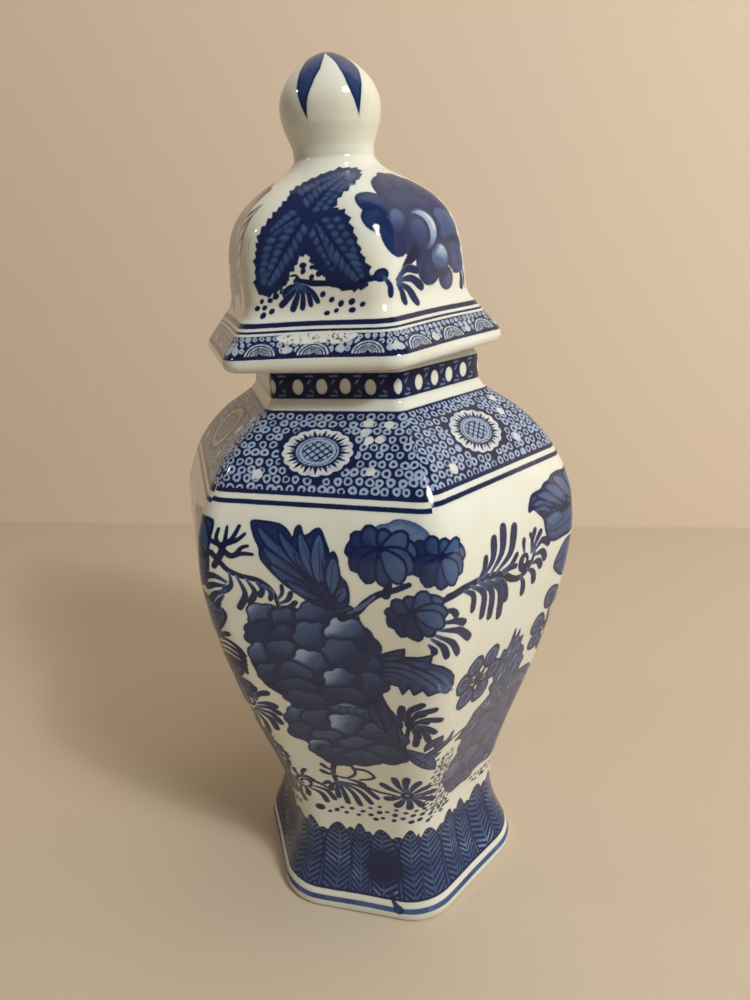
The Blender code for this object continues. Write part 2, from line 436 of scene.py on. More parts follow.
def foot_leaves(sheet, rng):
    """Overlapping upright leaves with herringbone veins, over two border lines."""
    v = sheet.v[:, None] + 0 * sheet.u
    half = sheet.half[:, None] + 0 * sheet.u
    t = sheet.u / half
    low = 6.9 + 0.1 * np.cos(math.pi * t)
    count = 5
    s = (t + 1) * count / 2 + 0.12 * np.sin(math.pi * t * 2 + sheet.side)
    pitch = 2 * half / count

    def row(offset, tips, width, base_tone, gain):
        k = np.floor(s + offset)
        q = (s + offset - k - 0.5) * pitch
        pick = (k.astype(int) + 3 * sheet.side) % len(tips)
        tip = np.take(tips, pick)
        lean = np.take(np.roll(tips, 2), pick) - np.mean(tips)
        q = q - lean * 0.35 * np.clip((v - 14) / 14, 0, 1)
        left = np.clip((tip - v) / 7.0, 0, 1)
        w = width * left**0.55
        d = np.where(v < tip, np.minimum(w - np.abs(q), (tip - v) * 0.8 + 0.0), -np.hypot(q, v - tip))
        d = np.minimum(d, v - low)
        bend = 0.9 + 0.12 * np.sin(k * 1.3)
        phase = v - bend * np.abs(q) + 0.3 * np.sin(k * 2.1 + v * 0.23)
        wave = np.abs(((phase / 1.75) % 1.0) - 0.5) * 1.75
        light = np.minimum(wave - 0.47, np.minimum(d - 0.34, np.abs(q) - 0.24))
        rib = np.minimum(0.16 - np.abs(q), np.minimum(d - 0.5, tip - 2.2 - v))
        light = np.maximum(light, rib)
        inside = d > -0.12
        sheet.ink = np.where(inside, np.minimum(d + 0.1, -light), sheet.ink)
        sheet.ink = np.where(~inside, np.maximum(sheet.ink, d), sheet.ink)
        sheet.wash = np.maximum(sheet.wash, d)
        mottle = 0.10 * np.sin(k * 1.7 + v * 0.33) + 0.06 * np.sin(k * 3.1 - v * 0.9)
        sheet.tone = np.where(d > -0.1, base_tone + gain * mottle, sheet.tone)

    row(0.5, np.array([26.6, 25.4, 27.0, 26.2, 25.8]), 3.4, 0.34, 1.0)
    row(0.0, np.array([28.6, 28.2, 28.8, 27.6, 28.4]), 3.35, 0.38, 1.2)
    base = 0.07 * np.cos(math.pi * sheet.u / half * 2)
    band(sheet, 6.6 + base, 7.3 + base)
    line = np.minimum(v - (3.3 + base), 4.8 + base - v)
    sheet.wash = np.maximum(sheet.wash, line)
    sheet.tone = np.where(line > -0.3, 0.34 + 0.14 * np.sin(sheet.u * 0.4) * np.cos(sheet.u * 0.23 + sheet.side), sheet.tone)


def foot_blot(sheet):
    """Where the colour pooled in the kiln, with a short run over the border below."""
    v = sheet.v[:, None] + 0 * sheet.u
    pool = np.exp(-((((sheet.u - 6.2) / 4.6) ** 2 + ((v - 14.8) / 4.4) ** 2) ** 1.3))
    sheet.tone = sheet.tone - 0.9 * pool
    sheet.ink = sheet.ink + 0.22 * pool * (1 + 0.5 * np.sin(sheet.u * 1.3 + v * 0.7))
    found = sheet._box(0, [(7, 2), (14, 8)], 1.5)
    if found is None:
        return
    at, x, y = found
    run = in_stroke([(8.6, 8.4), (9.4, 6.6), (10.4, 5.2), (11.2, 4.2)], (1.2, 0.9, 1.6, 2.6), x, y)
    sheet.wash[at] = np.maximum(sheet.wash[at], run)
    sheet.tone[at] = np.where((run > -0.3) & (sheet.ink[at] < 0.05), 0.12, sheet.tone[at])


def rings(sheet, centres, low, high, outer, inner, rng, blanks, pale, skip=()):
    """Small ringed dots reserved on the ink."""
    for x, y in centres:
        if any(((x - cx) / rx) ** 2 + ((y - cy) / ry) ** 2 < 1 for cx, cy, rx, ry in skip):
            continue
        r = outer * rng.uniform(0.86, 1.1)
        turn = rng.uniform(0, math.pi)
        squash = rng.uniform(0.84, 1.0)
        found = sheet.window(sheet.side, x - 2.2, x + 2.2, y - 2.2, y + 2.2)
        if found is None:
            continue
        at, gx, gy = found
        c, s = math.cos(turn), math.sin(turn)
        px, py = (gx - x) * c + (gy - y) * s, (-(gx - x) * s + (gy - y) * c) / squash
        rad = np.hypot(px, py) * (1 + 0.05 * np.sin(3 * np.arctan2(py, px) + turn))
        ring_d = r - rad
        if rng.random() > blanks:
            hole = inner * rng.uniform(0.8, 1.2)
            ring_d = np.minimum(ring_d, rad - hole)
        lim = np.minimum(gy - (low[at] if np.ndim(low) else low), (high[at] if np.ndim(high) else high) - gy)
        ring_d = np.minimum(ring_d, lim)
        sheet.ink[at] = np.minimum(sheet.ink[at], -ring_d)
        sheet.tone[at] = np.where(ring_d > -0.12, pale, sheet.tone[at])


def medallion(sheet, cx, cy, rx, ry, rng):
    """A reserved daisy round a ring with a small lattice of lozenges."""
    found = sheet.window(sheet.side, cx - rx - 2, cx + rx + 2, cy - ry - 2, cy + ry + 2)
    if found is None:
        return
    at, x, y = found
    px, py = (x - cx) / rx, (y - cy) / ry
    rad, ang = np.hypot(px, py), np.arctan2(py, px)
    scale = math.sqrt(rx * ry)
    petals = 17
    scallop = 1.0 - 0.075 * (1 - np.abs(np.cos(petals * ang / 2 + 0.4)) ** 0.7)
    outside = (scallop - rad) * scale
    ink, tone = sheet.ink[at], sheet.tone[at]
    ink = np.maximum(ink, np.minimum(outside + 0.75, 0.5))
    ink = np.minimum(ink, -outside)
    tone = np.where(outside > -0.15, 0.92, tone)
    # dark wedges between the petals, and one short stroke in each
    part = np.abs((((ang * petals / (2 * math.pi)) + 0.4 * 2 / (2 * math.pi) + 0.5) % 1.0) - 0.5)
    arc = part * 2 * math.pi * rad / petals * scale
    wedge = np.minimum(0.17 + (0.86 - rad) * 1.5 - arc, (0.93 - rad) * scale)
    half_arc = (0.5 - part) * 2 * math.pi * rad / petals * scale
    stroke = np.minimum(0.16 + (0.80 - rad) * 0.6 - half_arc, (0.80 - rad) * scale)
    ink = np.maximum(ink, np.minimum(wedge, (rad - 0.5) * scale))
    ink = np.maximum(ink, np.minimum(stroke, (rad - 0.5) * scale))
    ink = np.maximum(ink, (0.66 - rad) * scale)
    ink = np.minimum(ink, -(0.15 - np.abs(rad - 0.575) * scale))
    ink = np.minimum(ink, -(0.27 - np.abs(rad - 0.475) * scale))
    core = (0.415 - rad) * scale
    lx, ly = (x - cx) / 2.0, (y - cy) / 1.62
    a = np.abs(((lx + ly + 0.5) % 1.0) - 0.5)
    b = np.abs(((lx - ly + 0.5) % 1.0) - 0.5)
    cell = np.minimum(0.34 - a, 0.34 - b) * 1.15
    cell = np.minimum(cell, core - 0.1)
    ink = np.where(core > -0.05, np.maximum(np.minimum(ink, 9), np.minimum(core + 0.2, 0.3)), ink)
    ink = np.where(core > -0.05, np.minimum(ink, -cell), ink)
    tone = np.where(rad < 0.62, 0.80, tone)
    sheet.ink[at], sheet.tone[at] = ink, tone


def packed(x0, x1, y0, y1, pitch, rng, jitter=0.22):
    out = []
    y, k = y0, 0
    while y < y1:
        x = x0 + (pitch / 2 if k % 2 else 0)
        while x < x1:
            out.append((x + rng.uniform(-1, 1) * jitter * pitch, y + rng.uniform(-1, 1) * jitter * pitch * 0.8))
            x += pitch
        y += pitch * 0.87
        k += 1
    return out


SHOULDER_LOW, SHOULDER_HIGH = 131.9, 152.3


def shoulder(sheet, rng):
    """Roe ground with one medallion a side, white and blue lines below it."""
    v = sheet.v[:, None] + 0 * sheet.u
    slip = 0.35 * math.sin(2.1 * sheet.side + 0.4)
    t = sheet.u / sheet.half[:, None]
    low = SHOULDER_LOW - 0.55 * t * abs(slip) * 2 + slip * 0.4
    if sheet.side == 0:
        low = SHOULDER_LOW - 0.45 * (t + 1) * 0.9
    high = SHOULDER_HIGH + 0 * t
    # each side's transfer stops short of the arris by its own amount
    gap_left = (0.0, 0.0, 0.1, 0.0, 0.1, 0.0)[sheet.side]
    gap_right = (0.25, 0.0, 0.2, 0.0, 0.1, 0.1)[sheet.side]
    along = np.clip((v - SHOULDER_LOW) / 9.0, 0, 1)
    edge = np.minimum(
        sheet.u + sheet.half[:, None] + 0.3 - (gap_left * 1.3 + 0.3) * (1.0 - along),
        sheet.half[:, None] - sheet.u + 0.3 - (gap_right * 1.6 + 0.3) * (1.0 - along),
    )
    edge = edge + 0.12 * np.sin(v * 1.7 + sheet.side)
    ground = np.minimum(np.minimum(v - low, high - v), edge)
    sheet.ink = np.maximum(sheet.ink, ground)
    sheet.wash = np.maximum(sheet.wash, ground)
    sheet.tone = np.where(ground > -0.1, 0.93, sheet.tone)
    cx, cy = ((-1.3, 141.3), (-0.3, 142.0), (0.6, 141.6), (-0.8, 141.9), (0.4, 141.2), (-0.5, 141.8))[sheet.side]
    centres = packed(-27 + rng.uniform(0, 1), 27, SHOULDER_LOW + (0.7 if sheet.side == 0 else 1.35), SHOULDER_HIGH, 2.3, rng, 0.11)
    rings(sheet, centres, low + 0.3, high - 0.3, 0.97, 0.46, rng, 0.03, 0.83, skip=[(cx, cy, 8.8, 6.8)])
    worn = ((8.7, 148.9), (8.5, 146.3), (9.6, 144.1), (11.9, 144.4), (11.0, 136.9), (-14.0, 135.6), (13.4, 148.6))
    for bx, by in worn if sheet.side == 0 else worn[3:]:
        rings(sheet, [(bx, by)], low, high, 1.12, 0.3, rng, 1.0, 0.94)
    medallion(sheet, cx, cy, 8.0, 5.9, rng)
    # the arris gap and the crowded rings keep a thin inked edge
    rim = np.minimum(0.28 - np.abs(ground - 0.28), 5.0)
    sheet.ink = np.maximum(sheet.ink, np.where(np.abs(ground - edge) < 1e-6, FAR, rim))
    line_low, line_high = low - 2.75, low - 1.65
    fade = np.minimum(edge + 0.5, 3.0)
    sheet.ink = np.maximum(sheet.ink, np.minimum(np.minimum(v - line_low, line_high - v), fade))
    thin = np.minimum(v - (low - 0.42), (low + 0.5) - v)
    sheet.ink = np.maximum(sheet.ink, np.minimum(thin, edge))


def neck(sheet, rng):
    """A dark band with reserved white beads and small hooks between them."""
    low, high = 155.2, 160.9
    v = sheet.v[:, None] + 0 * sheet.u
    ground = np.minimum(v - low, high - v)
    sheet.ink = np.maximum(sheet.ink, ground)
    sheet.wash = np.maximum(sheet.wash, ground)
    sheet.tone = np.where(ground > -0.1, 0.5, sheet.tone)
    for k in range(-3, 4):
        cx = k * 5.5 - 2.8 + rng.uniform(-0.25, 0.25)
        if abs(cx) > 11.6:
            cx = math.copysign(14.9, cx)
        cy = 157.9 + rng.uniform(-0.15, 0.15)
        found = sheet.window(sheet.side, cx - 3, cx + 3, cy - 3.4, cy + 3.4)
        if found is None:
            continue
        at, x, y = found
        px, py = (x - cx) / 1.28, (y - cy) / 1.72
        d = (1 - np.hypot(px, py)) * 1.35
        sheet.ink[at] = np.minimum(sheet.ink[at], -d)
        sheet.wash[at] = np.minimum(sheet.wash[at], -d)
        mx = cx + 2.8
        for sx, sy, ex, ey in ((-0.8, 155.9, 0.7, 155.9), (-0.7, 160.2, 0.8, 160.2), (-0.5, 158.6, 0.2, 159.3), (0.1, 157.0, 0.7, 156.7)):
            sheet.stroke(sheet.side, [(mx + sx, sy), (mx + ex, ey)], 0.42, layer="line", tone=0.55)


def lid_border(sheet, rng):
    """Scallops and roe on the flared brim between lines."""
    v = sheet.v[:, None] + 0 * sheet.u
    wob = 0.1 * np.cos(math.pi * sheet.u / sheet.half[:, None])
    ground = np.minimum(v - (3.45 + wob), (8.9 + wob) - v)
    sheet.ink = np.maximum(sheet.ink, ground)
    sheet.wash = np.maximum(sheet.wash, ground)
    sheet.tone = np.where(ground > -0.1, 0.95, sheet.tone)
    # roe rows
    for row_v, pitch, r in ((8.1, 1.55, 0.62), (6.8, 1.7, 0.66), (5.4, 1.8, 0.70)):
        x = -19.5 + rng.uniform(0, 1)
        while x < 19.5:
            rings(sheet, [(x, row_v + rng.uniform(-0.12, 0.12))], 3.5, 8.6, r, 0.24, rng, 0.4, 0.86)
            x += pitch
    # scallops
    gap = 11.8
    for k in range(-2, 3):
        cx = k * gap + (0.6, 0.4, -0.3, 0.5, 0.1, -0.6)[sheet.side]
        found = sheet.window(sheet.side, cx - 6, cx + 6, 2.5, 9.2)
        if found is None:
            continue
        at, x, y = found
        rad = np.hypot((x - cx) / 1.12, y - 3.9)
        disc = 3.55 - rad
        sheet.ink[at] = np.maximum(np.minimum(sheet.ink[at], 9), np.minimum(disc, y - 3.5))
        for r, w in ((2.95, 0.17), (2.3, 0.13), (1.75, 0.09)):
            d = np.minimum(w - np.abs(rad - r), y - 4.15)
            sheet.ink[at] = np.minimum(sheet.ink[at], -d)
        n = 9
        ang = np.arctan2(y - 3.9, x - cx)
        ray = np.abs(((ang / math.pi * n) % 1.0) - 0.5)
        d = np.minimum(np.minimum(0.12 - (0.5 - ray) * 0.55, 1.5 - rad), rad - 0.7)
        sheet.ink[at] = np.minimum(sheet.ink[at], -np.minimum(d, y - 4.2))
        bx = cx + gap / 2
        rings(sheet, [(bx, 5.4)], 3.6, 8.5, 1.05, 0.2, rng, 1.0, 0.9)
    band(sheet, 3.35 + wob, 4.05 + wob)
    band(sheet, 9.45 + wob, 10.05 + wob)
    band(sheet, 10.75 + wob, 12.0 + wob)


def brim_smear(sheet):
    """A patch where the transfer slipped and left broken specks on white."""
    rng = random.Random(77)
    sheet.cut(0, [(-6.5, 8.9), (-7.2, 7.6), (-5, 6.9), (-1, 6.7), (3, 6.9), (6, 6.6), (8.6, 7.4), (9, 8.9)])
    for _ in range(46):
        x, y = rng.uniform(-6.5, 8.5), rng.uniform(6.9, 8.9)
        sheet.spot(0, x, y, rng.uniform(0.12, 0.34), rng.uniform(0.1, 0.2), rng.uniform(0, 3))

# ------------------------------------------------- the garden, wider panels
PETALS = (
    # centre, radii, tone range, light direction; drawn back to front
    (-13.0, 103.0, 3.9, 3.4, (0.10, 0.50), (-0.9, 0.9)),
    (-8.0, 102.6, 3.2, 3.0, (0.04, 0.34), (-0.4, 0.8)),
    (4.6, 104.6, 3.6, 3.0, (0.03, 0.30), (-0.5, 0.6)),
    (-0.9, 104.0, 4.2, 3.5, (0.05, 0.36), (-0.7, 0.7)),
    (9.0, 97.5, 3.4, 4.4, (0.02, 0.26), (-0.8, 0.4)),
    (-14.2, 97.6, 4.1, 3.6, (0.01, 0.20), (0.3, 0.4)),
    (-8.9, 97.4, 3.7, 3.6, (0.02, 0.24), (0.2, 0.5)),
    (-2.2, 98.6, 4.3, 3.9, (0.06, 0.42), (-0.5, 0.9)),
    (5.6, 100.0, 4.4, 4.2, (0.12, 0.62), (-1.3, 1.1)),
    (-15.6, 91.3, 2.7, 3.9, (0.06, 0.52), (-0.1, 1.1)),
    (8.8, 91.8, 3.4, 3.8, (0.02, 0.26), (0.2, 0.6)),
    (4.0, 94.4, 4.4, 4.0, (0.04, 0.36), (-0.8, 0.8)),
    (-10.2, 93.4, 3.7, 3.3, (0.03, 0.36), (0.3, 0.9)),
    (-14.0, 86.2, 3.5, 3.1, (0.02, 0.26), (-0.2, 0.8)),
    (-3.9, 90.0, 4.1, 4.5, (0.10, 0.66), (-1.1, 1.0)),
    (-8.3, 86.8, 3.8, 3.5, (0.03, 0.34), (0.4, 0.8)),
    (8.9, 85.8, 4.3, 3.6, (0.03, 0.34), (-0.5, 0.8)),
    (2.9, 85.8, 4.0, 3.9, (0.08, 0.60), (-1.2, 0.8)),
    (-7.8, 82.3, 5.2, 2.7, (0.02, 0.26), (0.1, 0.7)),
    (1.8, 81.0, 5.6, 2.8, (0.02, 0.24), (0.2, 0.6)),
    (-6.4, 77.8, 5.4, 3.1, (0.02, 0.28), (0.3, 0.8)),
    (11.8, 74.0, 3.4, 4.2, (0.02, 0.26), (0.2, 0.5)),
    (3.6, 75.6, 4.7, 2.7, (0.10, 0.56), (0.1, 1.2)),
    (-10.2, 70.6, 3.1, 4.3, (0.08, 0.52), (0.6, 1.0)),
    (-4.2, 71.2, 4.6, 3.9, (0.03, 0.32), (-0.4, 0.7)),
    (3.1, 70.7, 5.0, 3.8, (0.10, 0.58), (-1.5, 0.6)),
    (10.6, 67.6, 5.4, 4.8, (0.04, 0.36), (0.1, 0.8)),
    (-9.4, 66.0, 3.9, 3.4, (0.03, 0.30), (0.2, 0.5)),
    (-3.2, 64.2, 4.4, 3.4, (0.04, 0.38), (-0.3, 0.9)),
    (4.2, 62.6, 4.8, 3.7, (0.04, 0.34), (-0.5, 0.8)),
    (10.8, 60.8, 4.6, 3.4, (0.03, 0.30), (-0.3, 0.6)),
    (-5.9, 60.2, 3.2, 3.2, (0.10, 0.55), (-0.6, 1.0)),
    (-2.6, 57.4, 4.6, 3.4, (0.02, 0.26), (0.3, 0.7)),
    (4.2, 57.8, 4.6, 2.8, (0.03, 0.30), (0.0, 0.7)),
)


def blossom(sheet, anchor, cx, cy, r, petals, turn=0.0, squash=1.0, hub=0.9, tones=(0.10, 0.45), light=(0.5, 0.5), line=0.5):
    """A round flower seen from above: overlapping petals with a split down each, round a hub."""
    for k in range(petals):
        a = turn + 2 * math.pi * k / petals
        c, s = math.cos(a), math.sin(a) * squash
        lit = 0.5 + 0.5 * (c * light[0] + s * light[1])
        width = 2 * math.pi / petals * 0.62 * r
        sheet.lens(
            anchor, cx + c * r * 0.10, cy + s * r * 0.10, cx + c * r, cy + s * r, width, 0.0, 0.55,
            tone=(tones[0], tones[0] + (tones[1] - tones[0]) * lit), light=(0.2, 0.2), depth=1.1, line=line,
        )
    sheet.spot(anchor, cx, cy, hub)


def comb(sheet, anchor, root, tips, head=1.3, tail=0.5, bend=0.12, core=0.0):
    for x, y in tips:
        sheet.drop(anchor, root[0], root[1], x, y, head, bend, tail, core=core)


def ringlet(sheet, anchor, cx, cy, r, start, sweep, w0=1.1, w1=0.6, curl=0.55):
    """A brushed curl that winds inward."""
    pts = []
    for k in range(13):
        t = k / 12
        a = math.radians(start + sweep * t)
        rad = r * (1 - curl * t)
        pts.append((cx + rad * math.cos(a), cy + rad * math.sin(a)))
    sheet.stroke(anchor, pts, (w0, w1), per=3)


def antlers(sheet):
    a = 0
    sheet.stroke(a, [(-23.5, 115.0), (-21.8, 117.6), (-20.7, 120.2), (-20.0, 124.0)], (1.5, 1.7, 1.2, 0.7))
    sheet.stroke(a, [(-21.6, 119.4), (-22.6, 121.3), (-22.0, 123.4)], (1.3, 0.8))
    sheet.stroke(a, [(-21.2, 119.8), (-19.0, 121.2), (-17.2, 124.2)], (1.5, 1.1, 0.9))
    sheet.stroke(a, [(-19.6, 120.4), (-17.6, 121.2), (-15.9, 122.6)], (1.1, 0.8))
    sheet.stroke(a, [(-21.4, 119.0), (-19.4, 117.6), (-17.0, 118.2), (-14.2, 118.2)], (1.5, 1.4, 1.1, 0.8))
    sheet.stroke(a, [(-18.2, 118.0), (-16.6, 119.6), (-15.2, 120.0)], (1.1, 0.7))
    sheet.stroke(a, [(-22.0, 120.0), (-24.0, 120.8), (-25.2, 122.6)], (1.3, 0.8))


def left_sprays(sheet):
    a = 0
    stem = [(-24.0, 118.0), (-22.2, 116.2), (-20.2, 114.2), (-17.2, 113.0), (-13.2, 112.2), (-10.2, 109.8), (-9.0, 105.2)]
    sheet.stroke(a, stem, (1.5, 1.3, 1.3, 1.3, 1.3, 1.2, 1.0))
    for root, tip, bend, head in (
        ((-20.0, 113.6), (-22.2, 108.8), 0.25, 1.5),
        ((-18.4, 113.0), (-18.7, 104.8), 0.22, 1.7),
        ((-16.2, 112.4), (-16.0, 106.4), 0.28, 1.7),
        ((-13.8, 111.8), (-13.4, 108.4), 0.3, 1.6),
        ((-12.0, 111.0), (-11.0, 107.6), 0.22, 1.2),
    ):
        sheet.drop(a, *root, *tip, head, bend, 0.5, core=0.5)
    for root, tip, head in (
        ((-9.2, 108.0), (-8.0, 111.6), 1.0), ((-8.9, 107.0), (-5.9, 110.0), 1.3),
        ((-8.8, 106.2), (-5.0, 107.7), 1.3), ((-9.0, 105.2), (-5.4, 105.9), 1.2),
    ):
        sheet.drop(a, *root, *tip, head, -0.15, 0.5, core=0.4)
    # beside the arris
    for root, tip, bend, head in (
        ((-21.0, 111.4), (-26.5, 112.2), -0.15, 1.6), ((-21.2, 110.4), (-26.6, 109.4), -0.1, 1.7),
        ((-21.5, 109.2), (-26.0, 106.2), -0.1, 1.8), ((-22.2, 107.8), (-24.2, 104.4), -0.1, 1.6),
    ):
        sheet.drop(a, *root, *tip, head, bend, 0.7)


def lobed_leaf(sheet):
    a = 0
    outline = [
        (5.2, 107.0), (0.4, 107.0), (-3.4, 109.0), (-6.8, 111.4), (-9.0, 113.4), (-11.0, 115.6), (-12.4, 117.6),
        (-12.6, 119.8), (-13.6, 121.8), (-14.4, 124.4), (-14.2, 125.5), (-12.0, 125.5), (-8.0, 125.0), (-6.0, 123.6),
        (-5.0, 122.0), (-4.4, 124.2), (-3.4, 124.9), (-2.6, 123.0), (-1.4, 123.2), (-0.2, 124.2), (1.0, 124.4), (2.0, 122.4),
        (2.8, 120.4), (3.2, 119.0), (4.0, 119.8), (4.8, 118.4), (5.0, 115.6), (5.6, 114.2), (6.6, 113.0), (7.0, 110.6), (6.6, 108.0),
    ]
    sheet.fill(a, outline, tone=(0.0, 0.10), light=(-0.2, 0.2), depth=1.5, line=0.55, per=4)
    hub = (3.2, 106.6)
    ribs = (
        ((-13.4, 124.6), 2.0, 0.05, (0.18, 0.42)), ((-8.4, 123.8), 1.9, 0.03, (0.14, 0.40)), ((-3.6, 123.8), 2.1, 0.02, (0.20, 0.52)),
        ((0.9, 123.6), 2.6, 0.02, (0.26, 0.56)), ((4.0, 118.8), 2.4, -0.02, (0.24, 0.50)), ((6.3, 112.4), 1.9, -0.06, (0.22, 0.46)),
        ((-12.0, 120.2), 2.1, 0.06, (0.12, 0.36)), ((-10.6, 116.4), 1.9, 0.07, (0.12, 0.36)), ((-7.0, 112.8), 1.7, 0.06, (0.12, 0.34)),
    )
    starts = ((-2.0, 115.0), (0.2, 113.0), (0.2, 112.6), (0.8, 112.0), (2.8, 109.6), (3.8, 108.2), (-2.2, 113.2), (-1.0, 110.9), (0.8, 108.8))
    for (tip, width, bend, tone), start in zip(ribs, starts):
        sheet.lens(a, *start, *tip, width * 1.3, bend, 0.6, tone=tone, light=(-0.3, 0.4), depth=0.6, line=0.5)
        mx, my = (start[0] + tip[0]) / 2, (start[1] + tip[1]) / 2
        sheet.stroke(a, [start, (mx, my), (start[0] + (tip[0] - start[0]) * 0.86, start[1] + (tip[1] - start[1]) * 0.86)], (0.34, 0.2))
    for tip, _, bend, _ in ribs[1:6:2]:
        sheet.stroke(a, [hub, ((hub[0] + tip[0]) / 2 - 0.4, (hub[1] + tip[1]) / 2), ((hub[0] * 0.3 + tip[0] * 0.7), (hub[1] * 0.3 + tip[1] * 0.7))], (1.0, 0.6, 0.3))


def pumpkin(sheet, anchor, cx, cy, scale=1.0, turn=0.0):
    """A fluted round blossom: swollen lobes round an off-centre eye, dark on one side."""
    c0, s0 = math.cos(turn), math.sin(turn)

    def at(x, y):
        return cx + scale * (c0 * x - s0 * y), cy + scale * (s0 * x + c0 * y)

    hub = (-0.3, 0.6)
    lobes = (
        # tip, width, tone
        ((-7.8, -0.6), 4.4, (-0.10, 0.26)), ((-6.6, 3.2), 4.2, (-0.08, 0.28)), ((-3.4, 5.2), 4.1, (0.0, 0.34)),
        ((-6.6, -4.4), 4.4, (-0.12, 0.22)), ((-3.4, -7.2), 4.6, (-0.08, 0.26)), ((0.8, 4.8), 3.6, (0.05, 0.40)),
        ((0.4, -7.6), 4.4, (0.0, 0.36)), ((7.9, -0.2), 4.6, (0.16, 0.56)), ((5.6, 3.9), 4.4, (0.14, 0.54)), ((6.9, -4.2), 4.6, (0.12, 0.50)),
        ((4.2, -6.8), 4.8, (0.18, 0.62)),
    )
    for (tx, ty), width, tone in lobes:
        hx, hy = at(*hub)
        ex, ey = at(tx, ty)
        n = 15
        t = np.linspace(0, 1, n)
        w = width * scale / 2 * (np.sin(math.pi * t**1.35) ** 0.55)
        dx, dy = ex - hx, ey - hy
        size = math.hypot(dx, dy)
        nx, ny = -dy / size, dx / size
        bow = 0.10 * size * np.sin(math.pi * t) * (1 if tx > 0 else -1) * (1 if ty < 0 else -1)
        lx, ly = hx + dx * t + nx * bow, hy + dy * t + ny * bow
        left = np.stack([lx + nx * w, ly + ny * w], -1)
        right = np.stack([lx - nx * w, ly - ny * w], -1)[::-1]
        sheet.fill(anchor, np.concatenate([left, right[1:-1]]), closed=False, tone=tone, light=(0.3, 0.2), depth=0.8, line=0.6 * scale)
    hx, hy = at(*hub)
    sheet.spot(anchor, hx, hy, 1.15 * scale, 1.0 * scale)


def blossoms(sheet):
    # a pale cloud of petals behind, then three fluted blossoms and their twig
    sheet.fill(0, [(12.5, 122.5), (13.2, 125.4), (15.6, 126.2), (17.2, 127.0), (20.0, 126.8), (22.6, 125.6), (24.0, 123.4), (20.0, 121.0)],
               tone=(0.46, 0.62), light=(0.2, 0.2), depth=1.6, line=0.0)
    sheet.stroke(0, [(5.0, 104.6), (8.6, 106.6), (10.6, 108.8), (13.4, 110.9), (17.0, 112.2), (20.0, 113.6)], (2.4, 2.0, 1.7, 1.5, 1.4, 1.2))
    sheet.stroke(0, [(6.4, 105.8), (9.4, 107.6), (12.6, 110.4)], (0.4, 0.7, 0.3), layer="line", tone=0.42)
    sheet.stroke(0, [(15.0, 111.0), (15.8, 113.4)], (2.2, 1.4))
    pumpkin(sheet, 0, 21.0, 107.0, 0.88, 0.5)
    pumpkin(sheet, 0.5, 0.6, 119.0, 0.86, -0.15)
    pumpkin(sheet, 0, 14.2, 120.4, 0.98, 0.0)


def peony(sheet):
    a = 0
    sheet.solid(a, [(-17.2, 96), (-18.8, 91), (-18.2, 87), (-16.6, 82.2), (-13.8, 79.6), (-11.6, 78), (-11.4, 75), (-13.2, 70),
                    (-13.0, 66.5), (-11, 64), (-9.3, 61), (-7.5, 56.4), (-5, 54.4), (-2, 54), (5, 55.6), (11, 57.2), (14, 59),
                    (16, 63), (16, 70), (14, 77), (12, 84), (12.4, 90), (11.8, 96), (10.4, 101.4), (8, 106), (5, 107.4), (0, 107.6),
                    (-3, 107), (-6, 105.6), (-10, 106), (-14, 106), (-16.8, 103), (-16.4, 99.6), (-17.6, 98)])
    for k, (x, y, rx, ry, tone, light) in enumerate(PETALS):
        sheet.blob(a, x, y, rx * 1.13, ry * 1.13, 0.25 * math.sin(3.7 * k), 4 + k % 3, 0.09, 1.3 * k,
                   tone=(tone[0] - 0.12, tone[1] * 1.15), light=light, depth=0.4, line=0.42, shadow=0.7)
        # fine veins fan out from the petal's foot
        lx, ly = light
        size = math.hypot(lx, ly)
        ux, uy = lx / size, ly / size
        r = min(rx, ry)
        fx, fy = x - ux * r * 0.9, y - uy * r * 0.9
        for g in (-0.5, -0.18, 0.16, 0.48):
            c, s = math.cos(g), math.sin(g)
            vx, vy = ux * c - uy * s, ux * s + uy * c
            sheet.stroke(a, [(fx + vx * r * 0.5, fy + vy * r * 0.5), (fx + vx * r * 1.35, fy + vy * r * 1.35)], (0.2, 0.1, 0.02))
    for r in (3.1, 1.7):
        pts = [(10.6 + r * 1.1 * math.cos(t), 66.4 + r * math.sin(t)) for t in np.linspace(0.2, 3.0, 7)]
        sheet.stroke(a, pts, (0.5, 0.5))
    sheet.lens(a, 14.6, 65.6, 11.4, 83.4, 3.6, 0.05, 0.7, tone=(0.03, 0.20), light=(0.4, 0.2), depth=1.3, line=0.55)
    sheet.lens(a, 11.6, 70.0, 8.6, 80.0, 2.4, 0.05, 0.7, tone=(0.05, 0.24), light=(0.4, 0.2), depth=1.1, line=0.5)
    for x in (2.0, 4.0, 6.0):
        sheet.blob(a, x, 76.6 - abs(x - 4) * 0.12, 1.35, 1.2, tone=(0.2, 0.62), light=(0, 0.9), depth=1.0, line=0.3)


